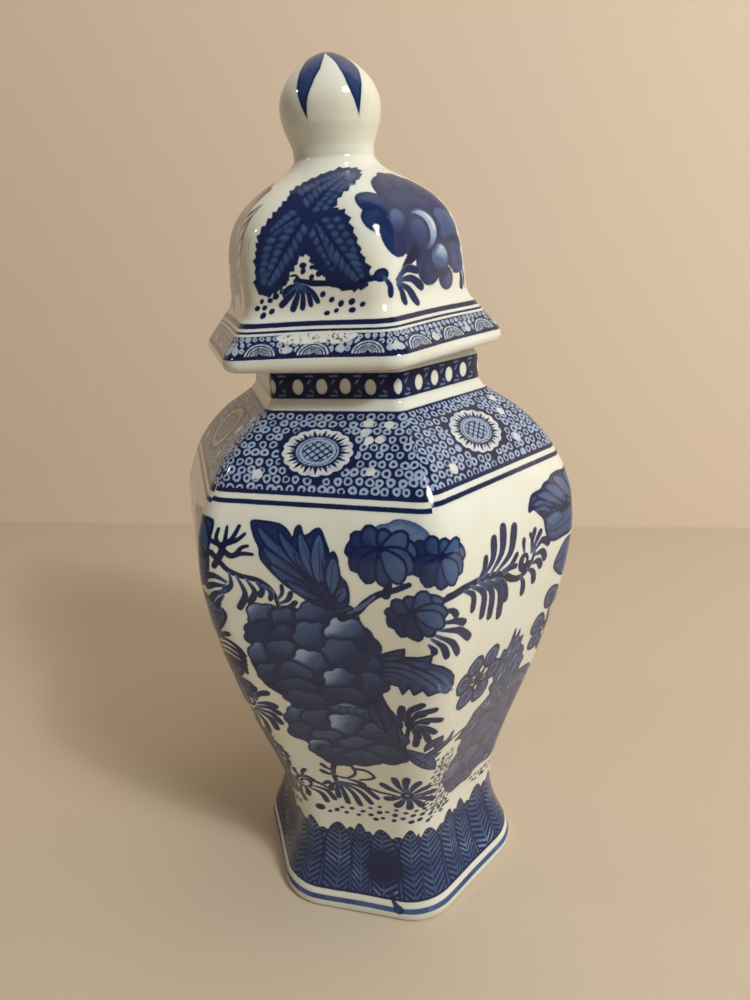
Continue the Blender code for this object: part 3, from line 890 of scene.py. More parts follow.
def serrated_leaf(sheet):
    a = 0
    outline = [
        (8.3, 89.0), (9.0, 92.4), (11.4, 94.2), (14.2, 96.0), (16.6, 97.0), (18.2, 97.5), (18.0, 95.2), (21.0, 95.4), (24.2, 96.2), (23.6, 93.8),
        (26.4, 92.2), (28.2, 90.2), (29.4, 87.8), (29.2, 85.0), (27.4, 83.0), (24.8, 84.4), (22.6, 83.7), (21.6, 85.8), (19.4, 84.0), (18.6, 86.4),
        (16.8, 83.8), (16.2, 86.4), (13.6, 86.8), (11.8, 86.2),
    ]
    sheet.fill(a, outline, tone=(0.10, 0.42), light=(0.9, 0.0), depth=2.2, line=0.6, closed=False)
    arcs = (
        ([(8.6, 91.2), (13.6, 93.6), (18.6, 93.4), (23.6, 90.6), (27.0, 85.8)], (1.3, 0.9, 0.7, 0.5)),
        ([(9.0, 92.2), (13.8, 95.0), (18.0, 95.6)], (0.7, 0.4)),
        ([(13.0, 93.4), (18.6, 94.6), (23.4, 94.4)], (0.6, 0.4)),
        ([(11.0, 90.8), (15.6, 92.0), (20.6, 90.6), (24.2, 87.0), (25.0, 85.4)], (0.7, 0.5, 0.4)),
        ([(11.6, 90.0), (15.4, 90.4), (19.2, 88.8), (21.8, 86.4)], (0.6, 0.4)),
        ([(11.0, 89.0), (14.4, 89.2), (17.0, 87.8), (18.8, 86.2)], (0.5, 0.3)),
        ([(19.6, 92.4), (24.4, 91.8), (27.6, 88.6), (28.4, 85.6)], (0.5, 0.4)),
    )
    for path, w in arcs:
        sheet.stroke(a, path, w)
    rng = random.Random(9)
    for k in range(16):
        x = rng.uniform(24.6, 28.8)
        y = rng.uniform(84.6, 88.6)
        sheet.stroke(a, [(x, y), (x + 0.5, y - 1.8)], (0.4, 0.2), layer="line", tone=rng.uniform(0.3, 0.6))


def stroke_flower(sheet):
    a = 0
    hub = (17.6, 73.6)
    for x, y, bend, head in ((16.4, 79.6, 0.2, 1.9), (21.4, 80.9, 0.22, 1.9), (24.4, 78.6, 0.22, 1.9), (25.6, 74.0, 0.2, 1.9), (23.6, 69.8, 0.16, 1.9), (21.8, 66.8, 0.16, 1.8), (18.4, 65.6, 0.12, 1.8)):
        sheet.drop(a, hub[0], hub[1], x, y, head, bend, 0.8, core=0.5)
    for x, y, bend, head in ((18.8, 79.4, 0.2, 1.3), (21.6, 77.4, 0.2, 1.4), (22.2, 74.2, 0.2, 1.4), (21.0, 71.0, 0.12, 1.4), (19.6, 68.6, 0.1, 1.3)):
        sheet.drop(a, hub[0] + 0.4, hub[1] - 0.2, x, y, head, bend, 0.6)
    sheet.spot(a, hub[0], hub[1], 1.2, 1.6)
    sheet.stroke(a, [(15.2, 64.0), (16.6, 69.0), (17.6, 74.0)], (1.4, 1.2, 1.0))
    # bluish leaf under it and two small ones across the arris
    sheet.lens(a, 15.4, 64.2, 22.6, 53.4, 4.8, 0.06, 0.8, tone=(0.20, 0.52), light=(0.7, 0.0), depth=1.6, line=0.5)
    sheet.stroke(a, [(15.8, 63.2), (19.4, 58.6), (21.8, 54.8)], (0.6, 0.3))
    for k in range(4):
        t = 0.2 + 0.18 * k
        x, y = 15.8 + (21.8 - 15.8) * t, 63.4 + (54.8 - 63.4) * t
        sheet.stroke(a, [(x, y), (x + 1.9, y + 0.1)], (0.35, 0.2))
        sheet.stroke(a, [(x, y), (x - 0.4, y - 1.9)], (0.35, 0.2))
    sheet.lens(a, 20.4, 63.0, 25.2, 67.4, 2.2, 0.1, 0.8, tone=(0.08, 0.34), light=(0, 0.4), depth=1.0, line=0.5)
    sheet.lens(a, 20.8, 61.8, 27.2, 64.6, 2.2, -0.1, 0.8, tone=(0.08, 0.34), light=(0, 0.4), depth=1.0, line=0.5)
    sheet.lens(a, 20.2, 60.6, 24.6, 60.2, 1.8, -0.1, 0.8, tone=(0.2, 0.5), light=(0, 0.4), depth=1.0, line=0.4)


def comb_fans(sheet):
    a = 0
    for k in range(5):
        s = k * 1.5
        sheet.stroke(a, [(-27.2 + 0.2 * k, 94.8 - s * 1.0), (-24.0, 95.4 - s * 1.15), (-21.2, 93.6 - s * 1.1), (-19.9 - 0.15 * k, 91.0 - s * 0.9)], (0.9, 1.0, 1.1, 1.1))
    for x, y, head in ((-22.6, 97.4, 1.5), (-25.4, 97.8, 1.6)):
        sheet.drop(a, -27.4, 94.4, x, y, head, 0.1, 0.7)
    ringlet(sheet, a, -22.6, 75.6, 2.7, 20, 470, 1.0, 0.7, 0.5)
    for root, tip, bend, head in (
        ((-22.0, 78.4), (-23.3, 83.2), 0.1, 2.1), ((-21.2, 77.8), (-19.6, 80.8), 0.1, 2.0), ((-20.4, 76.8), (-16.4, 79.4), 0.12, 2.0),
        ((-20.2, 75.0), (-15.0, 74.6), 0.14, 1.8), ((-20.6, 73.8), (-14.4, 71.9), 0.18, 1.7), ((-21.2, 73.0), (-14.9, 68.3), 0.2, 1.7),
        ((-21.8, 72.4), (-16.6, 65.8), 0.2, 1.8), ((-22.6, 72.2), (-19.6, 63.4), 0.16, 1.9), ((-23.6, 72.4), (-22.4, 65.4), 0.1, 1.9),
        ((-24.4, 77.6), (-26.6, 81.0), -0.1, 1.9),
    ):
        sheet.drop(a, *root, *tip, head, bend, 0.6, core=0.45)
    # lower comb
    stem = [(-24.5, 63.0), (-22.6, 60.6), (-20.6, 58.6), (-19.2, 55.2), (-19.4, 50.6)]
    sheet.stroke(a, stem, (1.3, 1.2, 1.1, 0.8))
    for root, tip, bend, head in (
        ((-20.8, 59.2), (-17.3, 57.4), 0.2, 1.5), ((-19.8, 57.4), (-16.2, 53.9), 0.22, 1.5), ((-19.3, 55.2), (-16.8, 49.9), 0.22, 1.5),
        ((-19.2, 53.0), (-17.8, 46.9), 0.16, 1.5), ((-19.4, 51.0), (-20.4, 46.2), 0.1, 1.4),
    ):
        sheet.drop(a, *root, *tip, head, bend, 0.5)


def lower_sprig(sheet):
    a = 0
    # spiral and its buds
    ringlet(sheet, a, -13.5, 43.4, 3.1, 30, 560, 1.3, 0.7, 0.72)
    sheet.stroke(a, [(-11.0, 44.6), (-9.0, 43.6), (-7.0, 42.2), (-5.2, 41.6)], (1.2, 1.0, 0.9))
    sheet.drop(a, -8.4, 43.4, -6.2, 45.2, 1.6, 0.1, 0.6)
    for root, tip, bend, head in (
        ((-14.0, 41.6), (-13.4, 37.6), 0.1, 1.8), ((-15.2, 41.2), (-15.0, 34.4), -0.1, 1.7), ((-12.6, 41.2), (-8.2, 35.9), 0.18, 1.8),
        ((-11.4, 42.2), (-5.8, 37.4), 0.2, 1.7), ((-16.2, 43.6), (-19.6, 41.6), -0.1, 1.5), ((-16.4, 44.8), (-19.2, 44.6), -0.1, 1.3),
        ((-13.6, 46.4), (-12.4, 49.6), 0.1, 1.4), ((-14.8, 46.2), (-15.8, 49.2), 0.1, 1.3),
    ):
        sheet.drop(a, *root, *tip, head, bend, 0.6, core=0.4)
    sheet.spot(a, -10.7, 33.2, 1.5, 1.3)
    # stem with a reserved bean, curls and a fan of dabs
    sheet.stroke(a, [(-2.4, 56.0), (-4.0, 52.8), (-4.6, 49.4), (-4.2, 45.6)], (1.8, 1.6, 1.5, 1.3))
    sheet.stroke(a, [(-3.8, 53.4), (0.6, 53.8), (1.4, 50.4), (-1.2, 48.0), (-4.0, 48.4)], (1.0, 0.9, 0.8))
    sheet.stroke(a, [(1.2, 52.6), (4.6, 52.4), (6.4, 50.0), (4.6, 48.6), (2.4, 48.0)], (1.1, 1.0, 0.9, 0.8))
    sheet.drop(a, -0.6, 47.4, 3.4, 45.6, 1.7, 0.1, 0.7)
    sheet.drop(a, -4.4, 48.8, -8.0, 50.0, 1.5, 0.1, 0.7)
    sheet.drop(a, -4.6, 50.6, -7.4, 53.0, 1.4, 0.1, 0.6)
    for x, y, bend in ((-6.6, 41.6, -0.1), (-4.6, 38.6, -0.06), (-2.2, 36.6, 0.0), (1.2, 36.4, 0.08), (4.4, 37.8, 0.12), (6.4, 40.4, 0.16)):
        sheet.drop(a, -3.6, 46.0, x, y, 1.7, bend, 0.6, core=0.4)
    # daisy
    sheet.stroke(a, [(3.0, 45.2), (7.0, 43.6), (12.0, 42.8)], (1.2, 1.0, 0.8))
    for x, y in ((8.0, 47.4), (11.6, 50.6), (15.0, 51.2), (18.2, 49.2), (20.6, 46.2), (22.4, 42.6), (21.8, 39.0), (18.2, 37.6), (14.6, 37.4), (11.0, 38.2), (8.4, 41.0)):
        dx, dy = x - 14.4, y - 43.4
        sheet.drop(a, 14.4 + dx * 0.22, 43.4 + dy * 0.22, x, y, 2.1, 0.06, 0.8, core=0.5)
    sheet.spot(a, 14.4, 43.4, 1.7, 1.5)
    sheet.stroke(a, [(14.2, 43.6), (14.6, 43.4)], 0.7, layer="line", tone=0.7)


DOTS_A = (
    (-1.5, 34.3), (1.5, 34.0), (3.5, 33.0), (3.7, 35.7), (6.0, 34.3), (8.5, 35.0), (7.0, 32.3), (9.8, 31.8), (12.4, 33.0), (10.2, 34.0),
    (13.5, 35.5), (15.3, 34.0), (14.5, 31.7), (17.0, 31.8), (16.2, 36.0), (6.5, 36.7), (11.0, 36.5), (18.0, 34.0), (18.6, 36.2), (-4.2, 34.4),
    (-6.0, 33.0), (-3.2, 32.2), (0.0, 32.2), (5.0, 31.4), (-8.0, 32.0), (20.2, 32.6), (19.2, 30.6),
)


def dots(sheet, anchor, points, r, rng, turn=0.5):
    for x, y in points:
        k = rng.uniform(0.8, 1.15)
        sheet.spot(anchor, x + rng.uniform(-0.2, 0.2), y + rng.uniform(-0.2, 0.2), r * k * 1.15, r * k * 0.85, turn + rng.uniform(-0.4, 0.4))


def dot_field(sheet, anchor, poly, pitch, r, seed):
    rng = random.Random(seed)
    poly = np.asarray(poly, float)
    lo, hi = poly.min(0), poly.max(0)
    pts = packed(lo[0], hi[0], lo[1], hi[1], pitch, rng, 0.26)
    px = np.array([p[0] for p in pts])
    py = np.array([p[1] for p in pts])
    keep = in_polygon(poly, px, py) > 0
    dots(sheet, anchor, [p for p, k in zip(pts, keep) if k], r, rng)


def garden_wide(sheet):
    rng = random.Random(11)
    comb_fans(sheet)
    left_sprays(sheet)
    antlers(sheet)
    lower_sprig(sheet)
    dots(sheet, 0, DOTS_A, 0.72, rng)
    dot_field(sheet, 0, [(19, 31), (27, 31), (28, 45), (27, 58), (23.5, 58), (23.5, 44), (21.5, 36)], 1.75, 0.52, 3)
    serrated_leaf(sheet)
    stroke_flower(sheet)
    peony(sheet)
    lobed_leaf(sheet)
    blossoms(sheet)

# ------------------------------------------------ the garden, other panels


def fern(sheet):
    """A long twig with brushed fronds, a curl at its tip and a fan of strokes."""
    b = 1
    sheet.stroke(b, [(-28.5, 108.6), (-26.0, 110.0), (-22.0, 110.5), (-15.0, 110.5), (-12.0, 110.0), (-8.0, 109.0), (-5.0, 107.5),
                     (-2.0, 105.6), (1.2, 104.6), (4.2, 105.4), (6.2, 107.4), (7.2, 109.8)], (1.5, 1.5, 1.6, 1.7, 1.8, 1.9, 1.9, 1.7, 1.5, 1.3, 1.2))
    sheet.stroke(b, [(-25.4, 110.9), (-21.0, 111.2), (-16.0, 111.0)], (0.7, 0.8, 0.5))
    for root, tip, bend, head in (
        ((-15.4, 110.6), (-12.1, 114.8), -0.16, 1.9), ((-13.4, 110.6), (-8.8, 118.2), -0.18, 2.5), ((-11.0, 110.2), (-5.0, 119.6), -0.18, 2.7),
        ((-8.6, 109.9), (-0.8, 118.4), -0.2, 2.7), ((-6.4, 109.2), (-0.2, 111.3), -0.14, 1.7), ((-5.6, 108.2), (-0.4, 108.4), 0.08, 1.4),
        ((-20.4, 110.0), (-16.8, 103.6), 0.24, 2.1), ((-18.0, 110.2), (-13.0, 100.2), 0.24, 2.4), ((-15.4, 110.2), (-9.8, 98.6), 0.22, 2.5),
        ((-12.6, 109.6), (-5.8, 96.9), 0.2, 2.6), ((-9.0, 108.4), (-3.6, 100.6), 0.16, 2.1),
        ((-26.6, 107.6), (-22.2, 104.8), 0.14, 1.7), ((-27.0, 104.6), (-19.2, 101.8), 0.08, 1.8), ((-27.4, 103.0), (-16.8, 96.6), 0.1, 2.2),
        ((-27.6, 101.6), (-20.4, 94.0), 0.1, 1.9), ((-28.2, 100.6), (-23.8, 94.6), 0.1, 1.8), ((-28.6, 99.0), (-27.0, 96.4), 0.1, 1.6),
    ):
        sheet.drop(b, *root, *tip, head, bend, 0.6, core=0.4 if head > 2.2 else 0.0)
    ringlet(sheet, b, 2.7, 108.3, 2.3, 330, -560, 1.5, 0.9, 0.72)
    sheet.drop(b, 2.6, 110.8, 2.6, 114.0, 1.5, 0.05, 0.8)
    for root, tip, bend, head in (
        ((5.6, 109.4), (7.4, 114.8), 0.1, 1.8), ((6.4, 109.8), (10.0, 113.6), 0.06, 1.8), ((7.0, 109.4), (13.6, 109.2), 0.26, 2.1),
        ((7.0, 108.2), (12.4, 105.4), 0.24, 2.2), ((5.8, 106.4), (10.8, 103.8), 0.2, 2.1), ((4.4, 105.6), (8.2, 100.6), 0.16, 2.2),
        ((1.6, 104.8), (3.4, 99.2), 0.12, 2.3), ((6.2, 109.6), (5.2, 114.4), -0.1, 1.2),
    ):
        sheet.drop(b, *root, *tip, head, bend, 0.6, core=0.3)


def big_bud(sheet):
    b = 1
    sheet.fill(b, [(5.6, 119.8), (7.4, 122.4), (9.4, 122.9), (12.0, 123.0), (13.6, 123.9), (16.0, 124.2), (17.4, 125.0), (20.0, 125.3), (23.0, 125.0),
                   (26.0, 125.2), (27.6, 123.4), (27.6, 112.0), (24.4, 109.4), (20, 109.0), (16.0, 109.2), (13.2, 110.6), (12.0, 113.4), (11.4, 116.2), (9.4, 118.2), (7.4, 119.8)],
               tone=(0.16, 0.40), light=(0.0, 0.0), depth=1.6, line=0.9, per=4)
    for x0, y0, x1, y1, w, tone in (
        (6.6, 120.6, 19.0, 116.8, 2.5, (0.20, 0.44)), (9.4, 122.4, 20.4, 116.6, 2.8, (0.24, 0.50)), (13.4, 123.6, 22.0, 117.0, 3.0, (0.26, 0.52)),
        (17.6, 124.8, 24.6, 117.4, 3.4, (0.28, 0.55)), (22.4, 124.8, 27.4, 117.6, 3.6, (0.26, 0.50)), (8.4, 119.2, 15.6, 116.2, 1.7, (0.16, 0.36)),
    ):
        sheet.lens(b, x0, y0, x1, y1, w, 0.08, 0.55, tone=tone, light=(-0.4, 0.4), depth=0.9, line=0.75)
    sheet.stroke(b, [(11.0, 117.4), (15.0, 116.0), (20.0, 115.8), (27.0, 116.8)], (1.0, 1.5, 1.7, 1.2))
    sheet.blob(b, 16.2, 114.6, 3.6, 1.7, -0.1, tone=(0.3, 0.62), light=(-0.2, 0.4), depth=0.8, line=0.3)
    sheet.stroke(b, [(12.4, 112.6), (17.0, 111.6), (24.0, 112.4)], (0.5, 0.3))


def small_flower(sheet, anchor, cx, cy, petals):
    for x, y, r in petals:
        sheet.blob(anchor, x, y, r, r * 0.94, 0.3 * x, 3, 0.05, x, tone=(0.10, 0.30), light=(0.2, 0.3), depth=1.0, line=0.75)
        dx, dy = x - cx, y - cy
        size = math.hypot(dx, dy)
        ux, uy = dx / size, dy / size
        ring_pts = [
            (x + ux * 0.2 + 0.62 * r * math.cos(t), y + uy * 0.2 + 0.58 * r * math.sin(t))
            for t in np.linspace(0, 2 * math.pi, 11)
        ]
        sheet.stroke(anchor, ring_pts, (0.55, 0.35, 0.2), layer="line", tone=0.46)
        for g in (-0.5, 0.0, 0.5):
            px, py = -uy * g, ux * g
            sheet.stroke(anchor, [(cx + ux * 0.8 + px, cy + uy * 0.8 + py), (x + ux * 0.3 * r + px * 1.8, y + uy * 0.3 * r + py * 1.8)], (0.55, 0.3))
    sheet.spot(anchor, cx, cy, 1.5)
    for k in range(8):
        t = k * math.pi / 4
        sheet.stroke(anchor, [(cx, cy), (cx + 2.5 * math.cos(t), cy + 2.5 * math.sin(t))], (0.7, 0.4))


def hatched_rock(sheet, anchor, outline, seed, tone=(0.14, 0.34), pitch=1.25, lean=0.9, holes=()):
    """A garden rock brushed with broken diagonal hatching over a wash."""
    sheet.fill(anchor, outline, tone=tone, light=(0.0, 0.0), depth=1.0, line=0.5, per=4)
    rng = random.Random(seed)
    poly = spline(outline, closed=True, per=4)
    found = sheet._box(anchor, poly, 0.5)
    if found is None:
        return
    lo, hi = poly.min(0), poly.max(0)
    y = lo[1]
    while y < hi[1]:
        x = lo[0] + rng.uniform(0, 2)
        while x < hi[0]:
            inside = in_polygon(poly, np.array([x]), np.array([y]))[0]
            if inside > 0.9:
                length = rng.uniform(1.6, 3.6)
                dx, dy = length * math.cos(lean + rng.uniform(-0.25, 0.25)), length * math.sin(lean)
                sheet.stroke(anchor, [(x - dx / 2, y - dy / 2), (x + dx / 2 + rng.uniform(-0.3, 0.3), y + dy / 2)], (0.25, rng.uniform(0.45, 0.95), 0.3))
                if rng.random() < 0.35:
                    sheet.stroke(anchor, [(x + 0.7 - dx / 3, y - dy / 3), (x + 0.7 + dx / 3, y + dy / 3)], 0.3, layer="line", tone=rng.uniform(0.45, 0.75))
            x += pitch * rng.uniform(1.2, 2.1)
        y += pitch


def rockery(sheet):
    b = 1
    small_flower(sheet, b, -9.0, 79.8, ((-15.2, 82.0, 3.0), (-11.6, 85.2, 2.9), (-5.3, 85.0, 3.0), (-3.0, 79.8, 2.8), (-7.0, 75.2, 3.2), (-13.2, 76.4, 3.2)))
    small_flower(sheet, b, 20.6, 82.0, ((19.4, 91.4, 3.4), (15.6, 84.2, 3.1), (16.2, 78.6, 3.0), (21.5, 76.0, 3.0), (25.6, 80.4, 3.2), (25.2, 87.0, 3.2)))
    upper = [(0.2, 83.8), (1.8, 83.0), (2.8, 85.0), (3.8, 88.6), (4.7, 85.4), (6.2, 87.2), (6.8, 84.4), (8.8, 84.0), (8.6, 81.4), (10.2, 79.8),
             (11.2, 78.0), (11.0, 76.4), (12.4, 74.8), (11.6, 72.6), (11.8, 70.6), (14.2, 70.4), (17.0, 69.8), (19.0, 68.0), (21.4, 66.8), (21.4, 60.0),
             (-9.6, 60.0), (-10.2, 62.0), (-8.0, 64.4), (-6.6, 67.0), (-4.0, 68.2), (-1.0, 70.0), (-2.4, 73.0), (-1.0, 74.6), (-2.0, 77.0), (0.0, 79.4), (-0.6, 81.4)]
    hatched_rock(sheet, b, upper, 21, (0.12, 0.32), 1.2, 0.95)
    lower = [(-9.6, 61.6), (-8.4, 58.4), (-9.2, 55.4), (-8.4, 53.0), (-10.4, 51.0), (-10.8, 48.8), (-12.4, 46.0), (-11.6, 43.4), (-9.8, 40.6), (-8.2, 37.6),
             (-5.0, 35.4), (-1.6, 35.2), (2.4, 34.6), (4.2, 36.2), (7.4, 36.6), (10.8, 35.8), (14.6, 36.4), (18.6, 38.0), (20.6, 50.0), (21.6, 62.0)]
    hatched_rock(sheet, b, lower, 22, (0.16, 0.36), 1.3, 0.85)
    for x, y, rx, ry, lobes in ((16.4, 57.2, 4.4, 3.6, 5), (8.6, 58.6, 4.8, 3.8, 4), (0.4, 58.4, 4.4, 3.4, 5), (-5.2, 54.6, 3.8, 3.4, 4), (3.2, 52.6, 4.8, 3.4, 5), (12.6, 51.8, 4.6, 3.8, 4)):
        sheet.blob(b, x, y, rx, ry, 0.1 * x, lobes, 0.05, x, tone=(0.14, 0.38), light=(0.2, 0.5), depth=1.2, line=0.5)
        for g in (-0.9, -0.3, 0.3):
            sheet.stroke(b, [(x + rx * g * 0.7, y - ry * 0.5), (x + rx * (g + 0.25) * 0.7, y + ry * 0.2)], (0.2, 0.35, 0.15))
    sheet.blob(b, -8.2, 45.8, 4.0, 3.6, 0.2, 4, 0.05, 1, tone=(0.30, 0.60), light=(-0.3, 0.6), depth=1.2, line=0.6)
    sheet.blob(b, -0.8, 46.6, 4.2, 3.4, -0.2, 4, 0.05, 1, tone=(0.24, 0.50), light=(0.3, 0.4), depth=1.2, line=0.6)
    sheet.blob(b, 8.6, 47.6, 4.6, 3.6, 0.2, 5, 0.05, 2, tone=(0.20, 0.44), light=(0.3, 0.4), depth=1.2, line=0.6)
    sheet.fill(b, [(-10.4, 42.4), (-7.0, 42.0), (-4.0, 43.0), (-1.6, 41.8), (-1.2, 38.6), (-2.6, 35.6), (-6.0, 35.4), (-8.8, 38.4)], tone=(0.0, 0.10), light=(0, 0), depth=1.0, line=0.6)
    for k in range(6):
        sheet.stroke(b, [(-9.0 + 1.3 * k, 41.2), (-7.8 + 1.2 * k, 37.0)], (0.4, 0.25), layer="line", tone=0.22)
    sheet.blob(b, 4.8, 41.0, 4.6, 3.6, 0.1, 5, 0.06, 0.4, tone=(0.12, 0.34), light=(0.3, 0.4), depth=1.2, line=0.6)
    sheet.blob(b, 12.6, 42.0, 4.2, 3.8, 0.1, 5, 0.06, 0.9, tone=(0.12, 0.34), light=(0.3, 0.4), depth=1.2, line=0.6)
    rng = random.Random(31)
    for _ in range(60):
        x, y = rng.uniform(-9, 15), rng.uniform(37.5, 60)
        length = rng.uniform(0.8, 2.0)
        sheet.stroke(b, [(x, y), (x + length * 0.6, y + length)], (0.25, 0.5, 0.2))
    # twig from the wide panel and its leaves
    sheet.stroke(b, [(-20.6, 60.4), (-18.0, 62.0), (-14.0, 62.8), (-9.6, 63.2)], (1.4, 1.1, 1.0, 0.9))
    sheet.lens(b, -18.4, 61.8, -19.2, 67.6, 2.2, 0.1, 0.7, tone=(0.08, 0.30), light=(0, 0.4), depth=0.9, line=0.5)
    sheet.lens(b, -17.6, 62.0, -14.8, 66.4, 2.0, -0.1, 0.7, tone=(0.08, 0.30), light=(0, 0.4), depth=0.9, line=0.5)
    dot_field(sheet, b, [(-18, 36), (-15.5, 33.8), (-12, 33.5), (-9.5, 30.5), (-5, 30.6), (-6, 33), (-9.5, 37), (-11.6, 41), (-12.6, 45), (-11.5, 50), (-10.4, 55), (-11.4, 58), (-15.5, 57), (-17.6, 50)], 1.72, 0.55, 41)
    dot_field(sheet, b, [(1.5, 33.2), (5, 34.4), (10, 34.2), (17, 34.6), (17, 30.6), (10, 29.8), (5, 30.2)], 1.9, 0.62, 42)
    # leaf above the far arris
    sheet.fill(b, [(17.4, 101.6), (20.0, 105.8), (23.0, 107.6), (27.6, 106.4), (30.4, 103.0), (27.4, 98.6), (23.6, 96.6), (20.0, 98.4)],
               tone=(0.16, 0.44), light=(0.1, 0.5), depth=1.2, line=0.7)
    sheet.stroke(b, [(18.2, 101.6), (23.4, 102.8), (29.4, 102.8)], (0.7, 0.5))
    for k in range(4):
        x = 20.6 + 2.1 * k
        sheet.stroke(b, [(x, 102.2), (x + 1.6, 105.4 - 0.5 * k)], (0.4, 0.25))
        sheet.stroke(b, [(x, 102.2), (x + 1.4, 98.8 + 0.4 * k)], (0.4, 0.25))


def garden_narrow(sheet):
    rockery(sheet)
    fern(sheet)
    big_bud(sheet)


# --------------------------------------------------------------- the cover


def feather_lobe(sheet, anchor, root, tip, left, right, count, seed, spread=0.62):
    """One lobe of a vine leaf: a midrib with pointed leaflets that make a saw-toothed edge.
    left and right are the lobe's reach each side of the midrib at its root, middle and tip."""
    rng = random.Random(seed)
    rx, ry = root
    dx, dy = tip[0] - rx, tip[1] - ry
    size = math.hypot(dx, dy)
    ux, uy = dx / size, dy / size
    core = []
    for k in range(count):
        t = k / (count - 1)
        for sign, reach in ((1, left), (-1, right)):
            out = float(np.interp(t, (0, 0.5, 1), reach)) * rng.uniform(0.93, 1.07)
            angle = sign * (spread - 0.22 * t) + rng.uniform(-0.05, 0.05)
            vx = ux * math.cos(angle) - uy * math.sin(angle)
            vy = ux * math.sin(angle) + uy * math.cos(angle)
            length = out / max(math.sin(abs(angle)), 0.3)
            px, py = rx + dx * t * 0.93 - vx * 0.2, ry + dy * t * 0.93 - vy * 0.2
            px, py = px - ux * length * 0.35, py - uy * length * 0.35
            ex, ey = px + vx * length, py + vy * length
            tt = np.linspace(0, 1, 7)
            w = 1.15 * np.sin(math.pi * tt) ** 0.5
            nx, ny = -vy, vx
            lx = px + (ex - px) * tt
            ly = py + (ey - py) * tt
            edge = np.stack([lx + nx * w, ly + ny * w], -1)
            back = np.stack([lx - nx * w, ly - ny * w], -1)[::-1]
            sheet.solid(anchor, np.concatenate([edge, back[1:-1]]), closed=False)
            core.append((px, py, ex, ey))
    for px, py, ex, ey in core:
        a, b = rng.uniform(0.18, 0.26), rng.uniform(0.86, 0.95)
        sheet.lens(anchor, px + (ex - px) * a, py + (ey - py) * a, px + (ex - px) * b, py + (ey - py) * b, rng.uniform(1.2, 1.6),
                   0.0, 0.8, tone=(0.0, rng.uniform(0.38, 0.62)), light=(0.2, 0.4), depth=0.4, line=0.22)
    sheet.stroke(anchor, [root, tip], (1.1, 0.6))


LID_DOTS = (
    (-3.5, 24.0), (-1.8, 23.5), (0.3, 23.0), (-1.7, 22.3), (-0.2, 21.3), (1.8, 21.7), (-6.0, 20.3), (-4.5, 19.3), (-7.0, 18.7), (-8.5, 17.8),
    (-11.7, 16.8), (-9.8, 16.7), (-13.0, 15.3), (-11.2, 15.5), (-9.5, 14.7), (-11.4, 13.8), (2.2, 17.8), (4.0, 16.5), (6.0, 15.7), (8.5, 15.8),
    (10.5, 15.0), (3.0, 13.8), (5.0, 14.0), (8.2, 14.0),
)


def toothed(points, pitch, depth, lean=0.35):
    """A closed outline with saw teeth pointing out along it; points run clockwise."""
    out = []
    n = len(points)
    for k in range(n):
        x0, y0 = points[k]
        x1, y1 = points[(k + 1) % n]
        size = math.hypot(x1 - x0, y1 - y0)
        count = max(1, round(size / pitch))
        tx, ty = (x1 - x0) / size, (y1 - y0) / size
        for j in range(count):
            f, g = j / count, (j + 0.5 + lean * 0.6) / count
            out.append((x0 + (x1 - x0) * f, y0 + (y1 - y0) * f))
            lift = depth * (0.8 + 0.3 * math.sin(2.3 * (k + j)))
            out.append((x0 + (x1 - x0) * g - ty * lift, y0 + (y1 - y0) * g + tx * lift))
    return out


LEAF_EDGE = (
    (4.8, 49.4), (8.2, 48.6), (9.4, 45.4), (7.6, 41.2), (5.4, 37.4), (4.8, 35.0), (7.4, 33.4), (9.2, 29.4), (10.6, 25.4), (12.2, 21.6), (11.4, 18.6), (8.4, 18.4),
    (5.6, 18.9), (3.0, 21.0), (1.0, 23.6), (-0.6, 26.6), (-2.4, 25.6), (-4.8, 22.6), (-7.6, 19.0), (-10.4, 17.8), (-12.4, 19.2), (-12.0, 25.6), (-10.8, 30.2), (-8.2, 33.6),
    (-5.4, 37.6), (-4.4, 41.4), (-2.0, 44.4), (1.2, 47.6),
)


def leaf_lobe(sheet, a, root, tip, left, right, count, seed):
    """Leaflets in two rows along a lobe's midrib, each a mid-blue lens outlined in the dark ground."""
    rng = random.Random(seed)
    rx, ry = root
    dx, dy = tip[0] - rx, tip[1] - ry
    size = math.hypot(dx, dy)
    ux, uy = dx / size, dy / size
    for k in range(count):
        t = (k + 0.2) / count
        for sign, reach in ((1, left), (-1, right)):
            out = float(np.interp(t, (0, 0.35, 0.7, 1), reach))
            turn = sign * (0.95 - 0.45 * t)
            vx = ux * math.cos(turn) - uy * math.sin(turn)
            vy = ux * math.sin(turn) + uy * math.cos(turn)
            px, py = rx + dx * t * 0.95, ry + dy * t * 0.95
            for f0, f1 in (((0.10, 0.52), (0.58, 0.97)) if out > 4.4 else ((0.12, 0.95),)):
                sheet.lens(a, px + vx * out * f0, py + vy * out * f0, px + vx * out * f1, py + vy * out * f1, rng.uniform(1.25, 1.6), 0.0, 0.9,
                           tone=(0.14, rng.uniform(0.36, 0.58)), light=(0.2, 0.4), depth=0.4, line=0.0)
    sheet.stroke(a, [root, tip], (0.55, 0.3))


